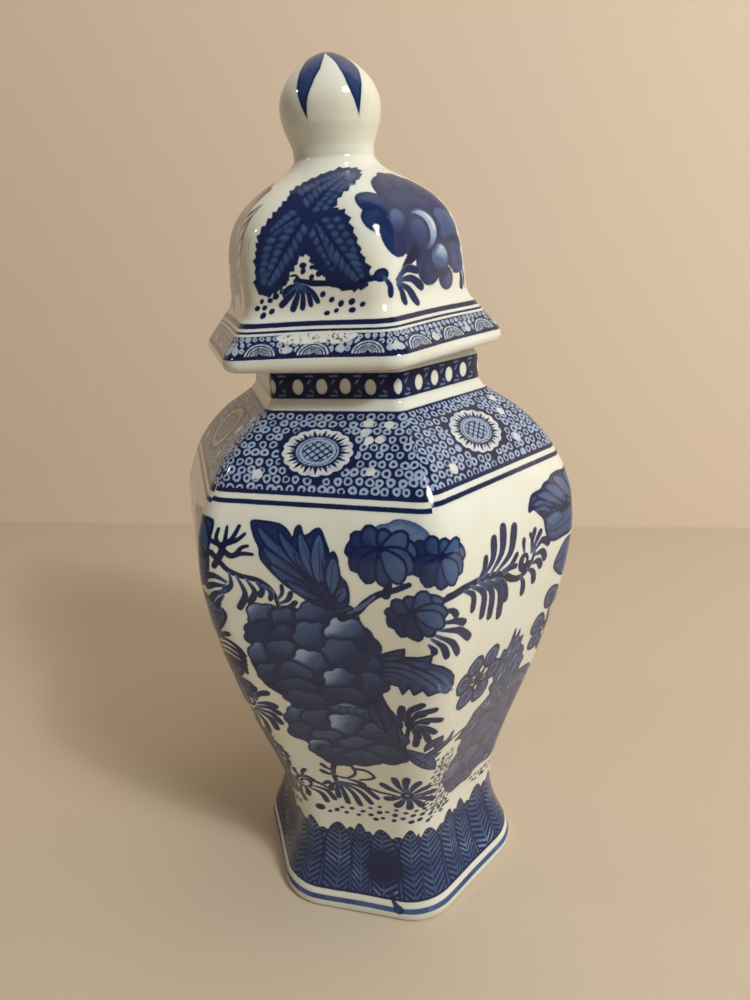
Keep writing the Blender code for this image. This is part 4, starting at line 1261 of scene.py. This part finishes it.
def vine_leaf(sheet):
    a = 0
    sheet.fill(a, toothed(LEAF_EDGE, 1.9, 0.8), tone=(-0.25, -0.05), light=(0.3, 0.6), depth=2.0, line=0.3, closed=False)
    leaf_lobe(sheet, a, (-0.2, 34.4), (7.2, 47.8), (8.0, 7.0, 4.6, 1.8), (4.4, 4.8, 4.4, 1.8), 10, 1)
    leaf_lobe(sheet, a, (-1.4, 32.4), (-10.6, 19.6), (2.8, 3.4, 3.0, 1.4), (6.2, 6.2, 4.4, 1.8), 9, 2)
    leaf_lobe(sheet, a, (-2.2, 34.0), (-8.8, 30.0), (2.0, 1.8, 1.2, 0.6), (3.0, 2.4, 1.6, 0.8), 5, 4)
    leaf_lobe(sheet, a, (1.8, 32.6), (11.0, 19.4), (5.0, 5.0, 3.6, 1.4), (3.2, 4.2, 3.6, 1.4), 9, 3)
    leaf_lobe(sheet, a, (1.2, 31.0), (5.4, 21.4), (1.6, 1.4, 1.0, 0.6), (2.4, 2.2, 1.6, 0.8), 6, 5)
    sheet.stroke(a, [(-3.4, 20.4), (0.2, 19.9), (4.2, 19.6), (8.0, 18.7), (11.6, 20.0), (14.6, 20.4)], (1.5, 1.3, 1.2, 1.2, 1.2, 1.4))
    sheet.blob(a, 14.9, 20.7, 1.5, 1.1, 0.2, tone=(0.0, 0.1), depth=1.0, line=0.5)
    sheet.drop(a, 15.6, 20.0, 16.9, 16.4, 1.6, 0.15, 0.8)
    rng = random.Random(17)
    dots(sheet, a, LID_DOTS, 0.66, rng)
    for x, y, bend, head in ((-6.2, 17.6, -0.1, 2.2), (-7.4, 15.6, 0.0, 1.4), (-4.8, 14.6, 0.0, 1.5), (-2.6, 14.8, 0.05, 1.3), (-0.6, 15.4, 0.1, 1.2), (1.0, 16.0, 0.12, 1.2)):
        sheet.drop(a, -2.4, 19.8, x, y, head, bend, 0.5)
    sheet.stroke(a, [(-4.6, 21.6), (-3.4, 21.6), (-2.6, 20.4)], (0.5, 0.7))


def grapes(sheet):
    b = 1
    sheet.fill(b, [(-8.2, 38.8), (-6.8, 41.8), (-4.8, 43.8), (-3.0, 44.9), (-1.2, 46.5), (0.6, 46.0), (2.6, 45.8), (4.2, 44.0), (6.4, 42.8), (7.8, 40.8),
                   (9.8, 38.4), (10.8, 35.4), (12.4, 32.8), (13.2, 28.0), (13.2, 20.4), (9.4, 19.2), (7.6, 22.0), (-4.0, 24.0), (-8.6, 30.0), (-8.6, 35.0)],
               tone=(0.02, 0.20), light=(0.3, -0.1), depth=2.0, line=0.6, per=4)
    for x0, y0, x1, y1, w in ((-5.0, 38.0, -1.6, 45.0, 4.0), (-0.6, 37.0, 2.6, 44.4, 4.2), (3.6, 36.0, 6.8, 41.6, 3.8), (6.4, 33.6, 10.6, 36.8, 3.6)):
        sheet.lens(b, x0, y0, x1, y1, w, 0.0, 0.5, tone=(0.03, 0.20), light=(-0.2, 0.4), depth=1.0, line=0.3)
    for cx, cy, rx, ry, tone, light in (
        (-11.2, 35.2, 3.3, 3.6, (0.02, 0.30), (-0.4, 0.5)), (-13.0, 31.6, 2.6, 2.8, (0.02, 0.20), (0, 0.3)), (-9.4, 27.6, 4.0, 3.4, (0.0, 0.14), (0.2, 0.3)),
        (-7.2, 31.0, 2.8, 3.2, (0.04, 0.44), (0.1, 0.9)), (9.2, 29.0, 4.0, 5.4, (0.10, 0.46), (-0.2, 0.8)), (10.4, 22.6, 3.2, 4.0, (0.08, 0.34), (0.2, 0.4)),
        (-4.2, 26.0, 3.4, 3.0, (0.0, 0.12), (0.2, 0.2)), (0.4, 21.6, 4.2, 4.4, (0.0, 0.16), (0.3, 0.2)), (6.2, 18.2, 2.5, 2.6, (0.03, 0.40), (0.5, 0.2)),
        (4.6, 22.6, 3.2, 3.4, (0.06, 0.95), (0.2, 1.2)), (0.2, 29.0, 4.9, 4.6, (0.04, 1.0), (1.0, 0.5)),
    ):
        sheet.blob(b, cx, cy, rx, ry, 0.1 * cx, tone=tone, light=light, depth=0.8, line=0.25, shadow=0.9)
    sheet.blob(b, -1.5, 28.5, 3.7, 3.7, 0.0, tone=(0.02, 0.34), light=(0.6, 0.8), depth=1.6, line=0.0)
    sheet.stroke(b, [(-3.6, 24.6), (-6.6, 22.6), (-8.6, 20.8), (-10.6, 19.4)], (3.2, 2.0, 1.4, 0.9))
    for x0, y0, x1, y1, head, bend in (
        (-10.4, 19.6, -3.4, 20.6, 1.7, 0.16), (-10.2, 19.2, -2.4, 17.0, 2.0, 0.14), (-10.4, 18.8, -4.9, 13.9, 2.1, 0.12), (-10.7, 18.6, -8.8, 14.4, 1.9, 0.1),
        (11.4, 20.0, 11.8, 15.4, 1.4, 0.1), (12.6, 20.0, 13.6, 15.6, 1.4, 0.1),
    ):
        sheet.drop(b, x0, y0, x1, y1, head, bend, 0.6, core=0.4)


def draw_body_side(sheet):
    side = sheet.side
    for k in (0, 2, 4):
        sheet.side = (side - k) % 6
        garden_narrow(sheet)
    for k in (0, 2, 4):
        sheet.side = (side - k) % 6
        garden_wide(sheet)
    sheet.side = side
    rng = random.Random(100 + sheet.side)
    foot_leaves(sheet, rng)
    shoulder(sheet, rng)
    neck(sheet, rng)
    if sheet.side == 0:
        foot_blot(sheet)


def draw_lid_side(sheet):
    side = sheet.side
    for k in (0, 2, 4):
        sheet.side = (side - k) % 6
        vine_leaf(sheet)
        grapes(sheet)
    sheet.side = side
    if side % 2:
        # the grapes stop short of the far arris in a scalloped edge
        edge = sheet.u - (sheet.half[:, None] - 1.6 + 0.6 * np.abs(np.sin(sheet.v[:, None] * 0.8)))
        sheet.ink = np.minimum(sheet.ink, -edge)
        sheet.wash = np.minimum(sheet.wash, -edge)
    if side == 5:
        edge = sheet.u - 7.6 + 0 * sheet.half[:, None]
        sheet.ink = np.minimum(sheet.ink, -edge)
        sheet.wash = np.minimum(sheet.wash, -edge)
        for x, y, bend in ((8.4, 34.6, 0.1), (7.6, 31.8, 0.12), (7.4, 28.8, 0.14), (7.6, 25.8, 0.14), (8.0, 23.0, 0.12), (8.6, 20.4, 0.1)):
            sheet.drop(5, 11.0, y + 2.6, x, y, 1.4, bend)
        sheet.stroke(5, [(11.6, 38.0), (11.0, 31.0), (10.8, 25.0), (11.6, 19.0)], (0.3, 0.7, 0.4))
    rng = random.Random(300 + sheet.side)
    lid_border(sheet, rng)
    if sheet.side == 0:
        brim_smear(sheet)


def draw_knob(profile, a):
    """Six pointed petals hanging from the tip of the knob."""
    r = profile[:, 0][:, None] + 0 * a[None, :]
    steps = np.hypot(np.diff(profile[:, 0]), np.diff(profile[:, 1]))
    run = np.concatenate([np.cumsum(steps[::-1])[::-1], [0]])
    s = run[:, None] + 0 * a[None, :]
    k, reach = 6, 20.2
    part = ((a[None, :] - math.radians(47)) / (2 * math.pi) * k) % 1.0 - 0.5
    arc = part * 2 * math.pi * r / k + 0.25 * np.sin(s * 0.5)
    t = np.clip(s / reach, 0, 1)
    width = np.interp(t, (0, 0.12, 0.3, 0.5, 0.68, 0.85, 1.0), (1.0, 1.5, 2.2, 2.5, 1.9, 0.8, 0.0))
    d = np.minimum(width - np.abs(arc), (reach - s) * 0.5)
    d = np.maximum(d, 1.5 - s)
    return {
        "ink": np.full(s.shape, -2.0),
        "wash": np.clip(d, -2.5, 2.5),
        "tone": 0.10 + 0.14 * np.sin(4.0 * t) - 0.25 * np.clip(1 - d / 0.7, 0, 1) + 0 * s,
    }

# ------------------------------------------------------------------- pieces
SPREAD = np.linspace(-1, 1, 181)
LID_SPREAD = np.linspace(-1, 1, 161)


def knob_level(angle):
    """Radius and height on the knob's upper half, an egg drawn to a soft tip."""
    narrowing = ((math.cos(angle) + 0.2) / 1.2) ** 0.45
    return (
        KNOB_RADIUS * math.cos(angle) * narrowing,
        KNOB_WIDEST + (KNOB_TOP - KNOB_WIDEST) * math.sin(angle),
    )


KNOB_SHOULDER = knob_level(0.12)
LID_UP = LID_OUTSIDE + KNOB_NECK[1:] + (
    (KNOB_WIDEST, KNOB_RADIUS),
    (KNOB_SHOULDER[1], KNOB_SHOULDER[0]),
)


def wall_points(stations, arrises, z, side, spread, rounding=False):
    corner = curve(stations, z)[:, None]
    arris = curve(arrises, z)[:, None]
    x, y, u, half = ring(corner, arris, spread[None, :])
    if rounding:
        k = np.clip((z[:, None] - ROUND_FROM) / (ROUND_AT - ROUND_FROM), 0, 1)
        k = k * k * (3 - 2 * k)
        scale = 1 + k * (corner / np.hypot(x, y) - 1)
        x, y, u, half = x * scale, y * scale, u * scale[:, -1:], half * scale[:, -1:]
    return side_points(side, x, y, z[:, None]), u, half[:, 0]


def ring_loop(corner, arris, z, segs, roundness=0.0):
    out = []
    t = np.linspace(-1, 1, segs + 1)[:-1]
    for side in range(6):
        x, y, _, _ = ring(np.array(float(corner)), np.array(float(arris)), t)
        scale = 1 + roundness * (corner / np.hypot(x, y) - 1)
        out.append(side_points(side, x * scale, y * scale, np.array(float(z))))
    return np.concatenate(out)


def loops_object(name, levels, segs, place=None, flip=False):
    """Closed loops stacked into an open tube. A level is (corner, arris, height[, roundness])."""
    points = np.stack([ring_loop(*one[:3], segs, *one[3:]) for one in levels])
    return grid_object(name, points, closed=True, place=place, flip=flip)


def between(a, b, count, bulge=0.0):
    """Levels from a to b in even straight steps; bulge is not used."""
    out = []
    for k in range(1, count + 1):
        t = k / count
        out.append(tuple(a[i] + (b[i] - a[i]) * t for i in range(len(a))))
    return out


def rounded(points, radius, steps=4):
    """A polyline of (corner, arris, height) levels with its inner corners rounded off."""
    out = [points[0]]
    for a, b, c in zip(points, points[1:], points[2:]):
        pa, pb, pc = (np.array(p, float) for p in (a, b, c))
        la = math.hypot(pb[0] - pa[0], pb[2] - pa[2])
        lc = math.hypot(pc[0] - pb[0], pc[2] - pb[2])
        r = min(radius, la * 0.45, lc * 0.45)
        start, end = pb + (pa - pb) * (r / la), pb + (pc - pb) * (r / lc)
        for k in range(steps + 1):
            t = k / steps
            out.append(tuple((1 - t) ** 2 * start + 2 * t * (1 - t) * pb + t * t * end))
    out.append(points[-1])
    return out


def add_piece(piece, body, material):
    piece.data.materials.append(material)
    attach(piece, body)
    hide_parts({"jar": "jar_body", "cover": "lid"}[body])
    return piece


SIDE_NAMES = ("front", "front_right", "back_right", "back", "back_left", "front_left")


def build_body(print_glaze, plain_glaze, biscuit):
    v, z = rows_along(BODY_OUTSIDE, 0.3)
    for side in range(6):
        points, u, half = wall_points(BODY_OUTSIDE, BODY_ARRIS, z, side, SPREAD)
        sheet = Sheet(u, v, half, side)
        draw_body_side(sheet)
        piece = grid_object(f"jar_side_{SIDE_NAMES[side]}", points, layers=layers_of(sheet))
        add_piece(piece, "jar", print_glaze)
    # The mouth: rim, bore and the whole inside, glazed.
    inset = 3.7 / C30
    rim = rounded(
        [(28.3, 3.0, 151.1), (27.1, 2.4, 151.1), (26.2, 2.0, 150.2), (26.2, 2.0, 142.1)], 0.35, 5
    )
    levels = [(28.3, 3.0, 151.1)] + rim[1:]
    for height in np.concatenate([[139.5, 135.5, 130.5], np.linspace(126, 14, 24), [9.2]]):
        corner = float(curve(BODY_OUTSIDE, height)) - inset
        if height > 128:
            corner -= 0.16 * (height - 128)
        if height < 12:
            corner -= 3.0
        levels.append((corner, max(2.0, float(curve(BODY_ARRIS, height)) - 3.7), float(height)))
    levels += [(24.0, 8.0, 7.2), (12.0, 4.0, 7.2), (0.5, 0.3, 7.2)]
    piece = loops_object("jar_mouth_and_inside", levels, 90)
    add_piece(piece, "jar", plain_glaze)
    # The resting face of the foot ring, wiped free of glaze.
    ring_levels = rounded(
        [(39.7, 14.0, 0.0), (34.9, 10.6, 0.0), (34.1, 10.0, 1.4), (32.9, 9.2, 2.5)], 0.4, 4
    )
    piece = loops_object("jar_foot_ring", ring_levels, 24, flip=True)
    add_piece(piece, "jar", biscuit)
    piece = loops_object(
        "jar_foot_recess", [(32.9, 9.2, 2.5), (32.3, 8.9, 2.75), (24.0, 8.0, 2.8), (12.0, 5.0, 2.8), (0.5, 0.3, 2.8)], 24, flip=True
    )
    add_piece(piece, "jar", plain_glaze)


def build_lid(print_glaze, plain_glaze, biscuit):
    v, z = rows_along(LID_UP[: len(LID_OUTSIDE)], 0.26)
    for side in range(6):
        points, u, half = wall_points(LID_UP, LID_ARRIS, z, side, LID_SPREAD, rounding=True)
        sheet = Sheet(u, v, half, side)
        draw_lid_side(sheet)
        piece = grid_object(f"lid_side_{SIDE_NAMES[side]}", points, place=LID_PLACE, layers=layers_of(sheet))
        add_piece(piece, "cover", print_glaze)
    # Knob
    low = np.linspace(41.3, KNOB_WIDEST, 46)
    profile = [(float(curve(LID_UP, h)), float(h)) for h in low]
    profile += [knob_level(a) for a in np.linspace(0, math.pi / 2, 72)[1:-1]]
    profile.append((0.02, KNOB_TOP))
    segs = 360
    a = np.linspace(0, 2 * math.pi, segs, endpoint=False)
    pts = np.stack(
        [np.stack([r * np.cos(a), r * np.sin(a), np.full(segs, h)], -1) for r, h in profile]
    )
    piece = grid_object(
        "lid_knob", pts, closed=True, place=LID_PLACE, layers=draw_knob(np.array(profile), a)
    )
    add_piece(piece, "cover", print_glaze)
    # Underside: the flat of the brim and the collar are bare biscuit, the hollow is glazed thinly.
    under = rounded(
        [(37.4, 6.0, 0.0), (22.4, 4.2, 0.0), (21.9, 4.0, -0.5), (21.9, 4.0, -7.7), (21.2, 3.4, -8.5), (18.4, 3.0, -8.5), (18.35, 3.0, -4.0)],
        0.3,
        3,
    )
    piece = loops_object("lid_collar_and_seat", under, 80, place=LID_PLACE, flip=True)
    add_piece(piece, "cover", biscuit)
    inside = []
    stations = ((-8.5, 18.4), (2.0, 18.3), (9.5, 25.2), (15.0, 26.2), (22.0, 25.6), (27.5, 23.8), (31.0, 20.6), (33.6, 15.6), (35.2, 9.4))
    for height in np.linspace(-4.0, 35.2, 40):
        k = min(max((height - 24.0) / 10.0, 0.0), 1.0)
        arris = 3.0 + 3.0 * min(max((height - 2.0) / 6.0, 0.0), 1.0)
        inside.append((float(curve(stations, height)), arris, float(height), k))
    inside += [(4.5, 2.0, 35.9, 1.0), (0.4, 0.3, 36.0, 1.0)]
    piece = loops_object("lid_hollow", inside, 40, place=LID_PLACE, flip=True)
    add_piece(piece, "cover", plain_glaze)


def layers_of(sheet):
    return {
        "ink": np.clip(sheet.ink, -2.5, 2.5),
        "wash": np.clip(sheet.wash, -2.5, 2.5),
        "tone": sheet.tone,
    }

# ---------------------------------------------------------------- materials


class Tree:
    """Short calls for building one material's nodes."""

    def __init__(self, name):
        self.material = bpy.data.materials.new(name)
        self.material.use_nodes = True
        self.nodes = self.material.node_tree.nodes
        self.links = self.material.node_tree.links
        self.shader = self.nodes["Principled BSDF"]

    def wire(self, value, socket):
        if hasattr(value, "is_output"):
            self.links.new(value, socket)
        else:
            socket.default_value = value

    def attribute(self, name):
        node = self.nodes.new("ShaderNodeAttribute")
        node.attribute_type = "GEOMETRY"
        node.attribute_name = name
        return node.outputs["Fac"]

    def math(self, kind, a, b=0.0, c=0.0, clamp=False):
        node = self.nodes.new("ShaderNodeMath")
        node.operation = kind
        node.use_clamp = clamp
        self.wire(a, node.inputs[0])
        self.wire(b, node.inputs[1])
        self.wire(c, node.inputs[2])
        return node.outputs[0]

    def ramp(self, value, a, b, c=0.0, d=1.0, kind="SMOOTHSTEP"):
        node = self.nodes.new("ShaderNodeMapRange")
        node.interpolation_type = kind
        node.clamp = True if kind == "LINEAR" else node.clamp
        self.wire(value, node.inputs["Value"])
        self.wire(a, node.inputs["From Min"])
        self.wire(b, node.inputs["From Max"])
        self.wire(c, node.inputs["To Min"])
        self.wire(d, node.inputs["To Max"])
        return node.outputs["Result"]

    def mix(self, factor, a, b, blend="MIX"):
        node = self.nodes.new("ShaderNodeMix")
        node.data_type = "RGBA"
        node.blend_type = blend
        self.wire(factor, node.inputs["Factor"])
        self.wire(a, node.inputs["A"] if False else node.inputs[6])
        self.wire(b, node.inputs[7])
        return node.outputs[2]

    def noise(self, scale, detail=2.0, rough=0.5, warp=0.0):
        node = self.nodes.new("ShaderNodeTexNoise")
        node.inputs["Scale"].default_value = scale
        node.inputs["Detail"].default_value = detail
        node.inputs["Roughness"].default_value = rough
        node.inputs["Distortion"].default_value = warp
        self.links.new(self.place(), node.inputs["Vector"])
        return node.outputs["Fac"]

    def place(self):
        if not hasattr(self, "_place"):
            node = self.nodes.new("ShaderNodeTexCoord")
            self._place = node.outputs["Object"]
        return self._place

    def bump(self, height, strength, distance, normal=None):
        node = self.nodes.new("ShaderNodeBump")
        node.inputs["Strength"].default_value = strength
        node.inputs["Distance"].default_value = distance
        self.links.new(height, node.inputs["Height"])
        if normal is not None:
            self.links.new(normal, node.inputs["Normal"])
        return node.outputs["Normal"]


def srgb(r, g, b):
    def one(c):
        c /= 255
        return c / 12.92 if c <= 0.04045 else ((c + 0.055) / 1.055) ** 2.4

    return (one(r), one(g), one(b), 1.0)


WHITE = srgb(226, 230, 222)
WHITE_WARM = srgb(223, 224, 211)
NAVY = srgb(17, 33, 82)
NAVY_DARK = srgb(11, 20, 52)
WASH_DEEP = srgb(22, 40, 88)
WASH_MID = srgb(62, 88, 134)
WASH_PALE = srgb(150, 170, 200)
WASH_WHITE = srgb(222, 222, 216)


def printed_glaze(name):
    t = Tree(name)
    ink, wash, tone = t.attribute("ink"), t.attribute("wash"), t.attribute("tone")
    fine = t.noise(2600.0, 2.0, 0.6)
    mid = t.noise(420.0, 3.0, 0.6)
    broad = t.noise(60.0, 2.0, 0.5)
    wobble = t.math("MULTIPLY_ADD", fine, 0.16, -0.08)
    wobble2 = t.math("MULTIPLY_ADD", mid, 0.14, -0.07)
    wobble = t.math("ADD", wobble, wobble2)
    ink_edge = t.math("ADD", ink, wobble)
    wash_edge = t.math("ADD", wash, wobble)
    ink_mask = t.ramp(ink_edge, -0.10, 0.11)
    wash_mask = t.ramp(wash_edge, -0.14, 0.12)
    # white glaze, a little uneven in warmth
    white = t.mix(t.ramp(broad, 0.3, 0.7), WHITE, WHITE_WARM)
    # cobalt bleeding into the glaze round the print
    near = t.math("MAXIMUM", ink, wash)
    halo = t.ramp(near, -0.9, 0.1, 0.0, 0.20)
    base = t.mix(halo, white, WASH_PALE)
    # wash colours
    shade = t.math("MULTIPLY_ADD", mid, 0.24, -0.12)
    tone2 = t.math("ADD", tone, shade)
    dark = t.mix(t.ramp(tone2, -0.7, 0.0), NAVY_DARK, WASH_DEEP)
    deep = t.mix(t.ramp(tone2, 0.0, 0.42), dark, WASH_MID)
    pale = t.mix(t.ramp(tone2, 0.4, 0.82), deep, WASH_PALE)
    palest = t.mix(t.ramp(tone2, 0.82, 1.0), pale, WASH_WHITE)
    base = t.mix(wash_mask, base, palest)
    # ink
    dense = t.math("ADD", t.ramp(ink, 0.0, 0.9, 0.25, 0.75), t.math("MULTIPLY_ADD", mid, 0.9, -0.45))
    ink_colour = t.mix(t.math("ADD", dense, 0.0, clamp=True), NAVY, NAVY_DARK)
    colour = t.mix(ink_mask, base, ink_colour)
    t.links.new(colour, t.shader.inputs["Base Color"])
    t.shader.inputs["Roughness"].default_value = 0.09
    t.shader.inputs["IOR"].default_value = 1.5
    t.shader.inputs["Normal"].default_value = (0, 0, 0)
    t.links.new(t.bump(broad, 0.35, 0.00025, t.bump(mid, 0.10, 0.00003)), t.shader.inputs["Normal"])
    return t.material


def plain_glaze(name):
    t = Tree(name)
    broad = t.noise(60.0, 2.0, 0.5)
    white = t.mix(t.ramp(broad, 0.3, 0.7), WHITE, WHITE_WARM)
    t.links.new(white, t.shader.inputs["Base Color"])
    t.shader.inputs["Roughness"].default_value = 0.12
    t.links.new(t.bump(broad, 0.35, 0.00025), t.shader.inputs["Normal"])
    return t.material


def bare_clay(name):
    t = Tree(name)
    grain = t.noise(1500.0, 4.0, 0.65)
    stain = t.noise(120.0, 3.0, 0.6)
    clay = t.mix(t.ramp(grain, 0.3, 0.7), srgb(214, 204, 186), srgb(228, 221, 206))
    clay = t.mix(t.ramp(stain, 0.58, 0.75, 0.0, 0.5), clay, srgb(186, 164, 134))
    t.links.new(clay, t.shader.inputs["Base Color"])
    t.shader.inputs["Roughness"].default_value = 0.78
    t.links.new(t.bump(grain, 0.5, 0.00008), t.shader.inputs["Normal"])
    return t.material


def stage_material(name, colour, roughness, mottle=0.03):
    t = Tree(name)
    t.shader.inputs["Roughness"].default_value = roughness
    t.shader.inputs["Base Color"].default_value = colour
    return t.material

# --------------------------------------------------------- build and stage
PRINT = printed_glaze("printed_glaze")
build_body(PRINT, plain_glaze("body_white_glaze"), bare_clay("body_bare_clay"))
build_lid(printed_glaze("lid_printed_glaze"), plain_glaze("lid_white_glaze"), bare_clay("lid_bare_clay"))


def quad(name, corners, material):
    mesh = bpy.data.meshes.new(name)
    mesh.from_pydata([Vector(c) * MM for c in corners], [], [(0, 1, 2, 3)])
    mesh.materials.append(material)
    made = bpy.data.objects.new(name, mesh)
    bpy.context.scene.collection.objects.link(made)
    return made


FLOOR = stage_material("stage_floor", srgb(204, 190, 170), 0.6)
WALL = stage_material("stage_wall", srgb(240, 222, 202), 0.9)
quad("stage_floor", ((-3000, -3000, 0), (3000, -3000, 0), (3000, 3000, 0), (-3000, 3000, 0)), FLOOR)
a, b = Vector((-334.8, 216.3, 0)), Vector((166.1, 266.6, 0))
along = (b - a).normalized()
left, right = a - along * 2200, b + along * 2200
quad("stage_wall", (left, right, right + Vector((0, 0, 1800)), left + Vector((0, 0, 1800))), WALL)

camera_data = bpy.data.cameras.new("camera")
camera_data.sensor_fit = "AUTO"
camera_data.sensor_width = 36.0
camera_data.lens = 25.4595
camera_data.clip_start = 0.005
camera_data.clip_end = 20.0
camera = bpy.data.objects.new("camera", camera_data)
right_ax = Vector((0.96981904, 0.23868433, -0.04980783))
up_ax = Vector((-0.03770088, 0.34861307, 0.93650818))
back_ax = -Vector((-0.24089349, 0.90636566, -0.34709021))
turn = Matrix((right_ax, up_ax, back_ax)).transposed().to_4x4()
camera.matrix_world = Matrix.Translation(Vector((47.42898, -173.53350, 177.32049)) * MM) @ turn
bpy.context.scene.collection.objects.link(camera)
bpy.context.scene.camera = camera
EYE = Vector((47.42898, -173.53350, 177.32049)) * MM


def toward(r, u, b):
    """A direction given as seen from the camera: right, up, back toward it."""
    return (right_ax * r + up_ax * u + back_ax * b).normalized()


def lamp(name, direction, distance, size, power, colour, aim=(0, 0, 110), size_y=None):
    data = bpy.data.lights.new(name, "AREA")
    data.shape = "RECTANGLE" if size_y else "DISK"
    data.size = size
    if size_y:
        data.size_y = size_y
    data.energy = power
    data.color = colour
    made = bpy.data.objects.new(name, data)
    target = Vector(aim) * MM
    made.location = target + direction * distance
    made.rotation_euler = (made.location - target).to_track_quat("Z", "Y").to_euler()
    bpy.context.scene.collection.objects.link(made)
    return made


KEY = toward(0.49, 0.45, 0.75)
lamp("stage_key", KEY, 1.0, 0.26, 4.6, (1.0, 1.0, 0.96))
lamp("stage_key_core", KEY, 0.98, 0.06, 1.4, (1.0, 1.0, 0.97))
lamp("stage_rear", toward(-0.78, 0.52, 0.25), 1.0, 0.045, 0.4, (1.0, 0.95, 0.86))
soft = [
    lamp("stage_right", toward(0.97, 0.10, -0.15), 0.85, 0.6, 4.8, (1.0, 0.96, 0.87), aim=(0, 0, 60)),
    lamp("stage_top", Vector((0.35, -0.1, 1)).normalized(), 1.5, 1.0, 4.8, (1.0, 0.97, 0.88)),
]
for one in soft:
    one.visible_glossy = False

world = bpy.data.worlds.new("stage_world")
world.use_nodes = True
world.node_tree.nodes["Background"].inputs["Color"].default_value = (1.0, 0.84, 0.66, 1.0)
world.node_tree.nodes["Background"].inputs["Strength"].default_value = 0.15
bpy.context.scene.world = world
bpy.context.scene.view_settings.view_transform = "Standard"
bpy.context.scene.view_settings.look = "None"
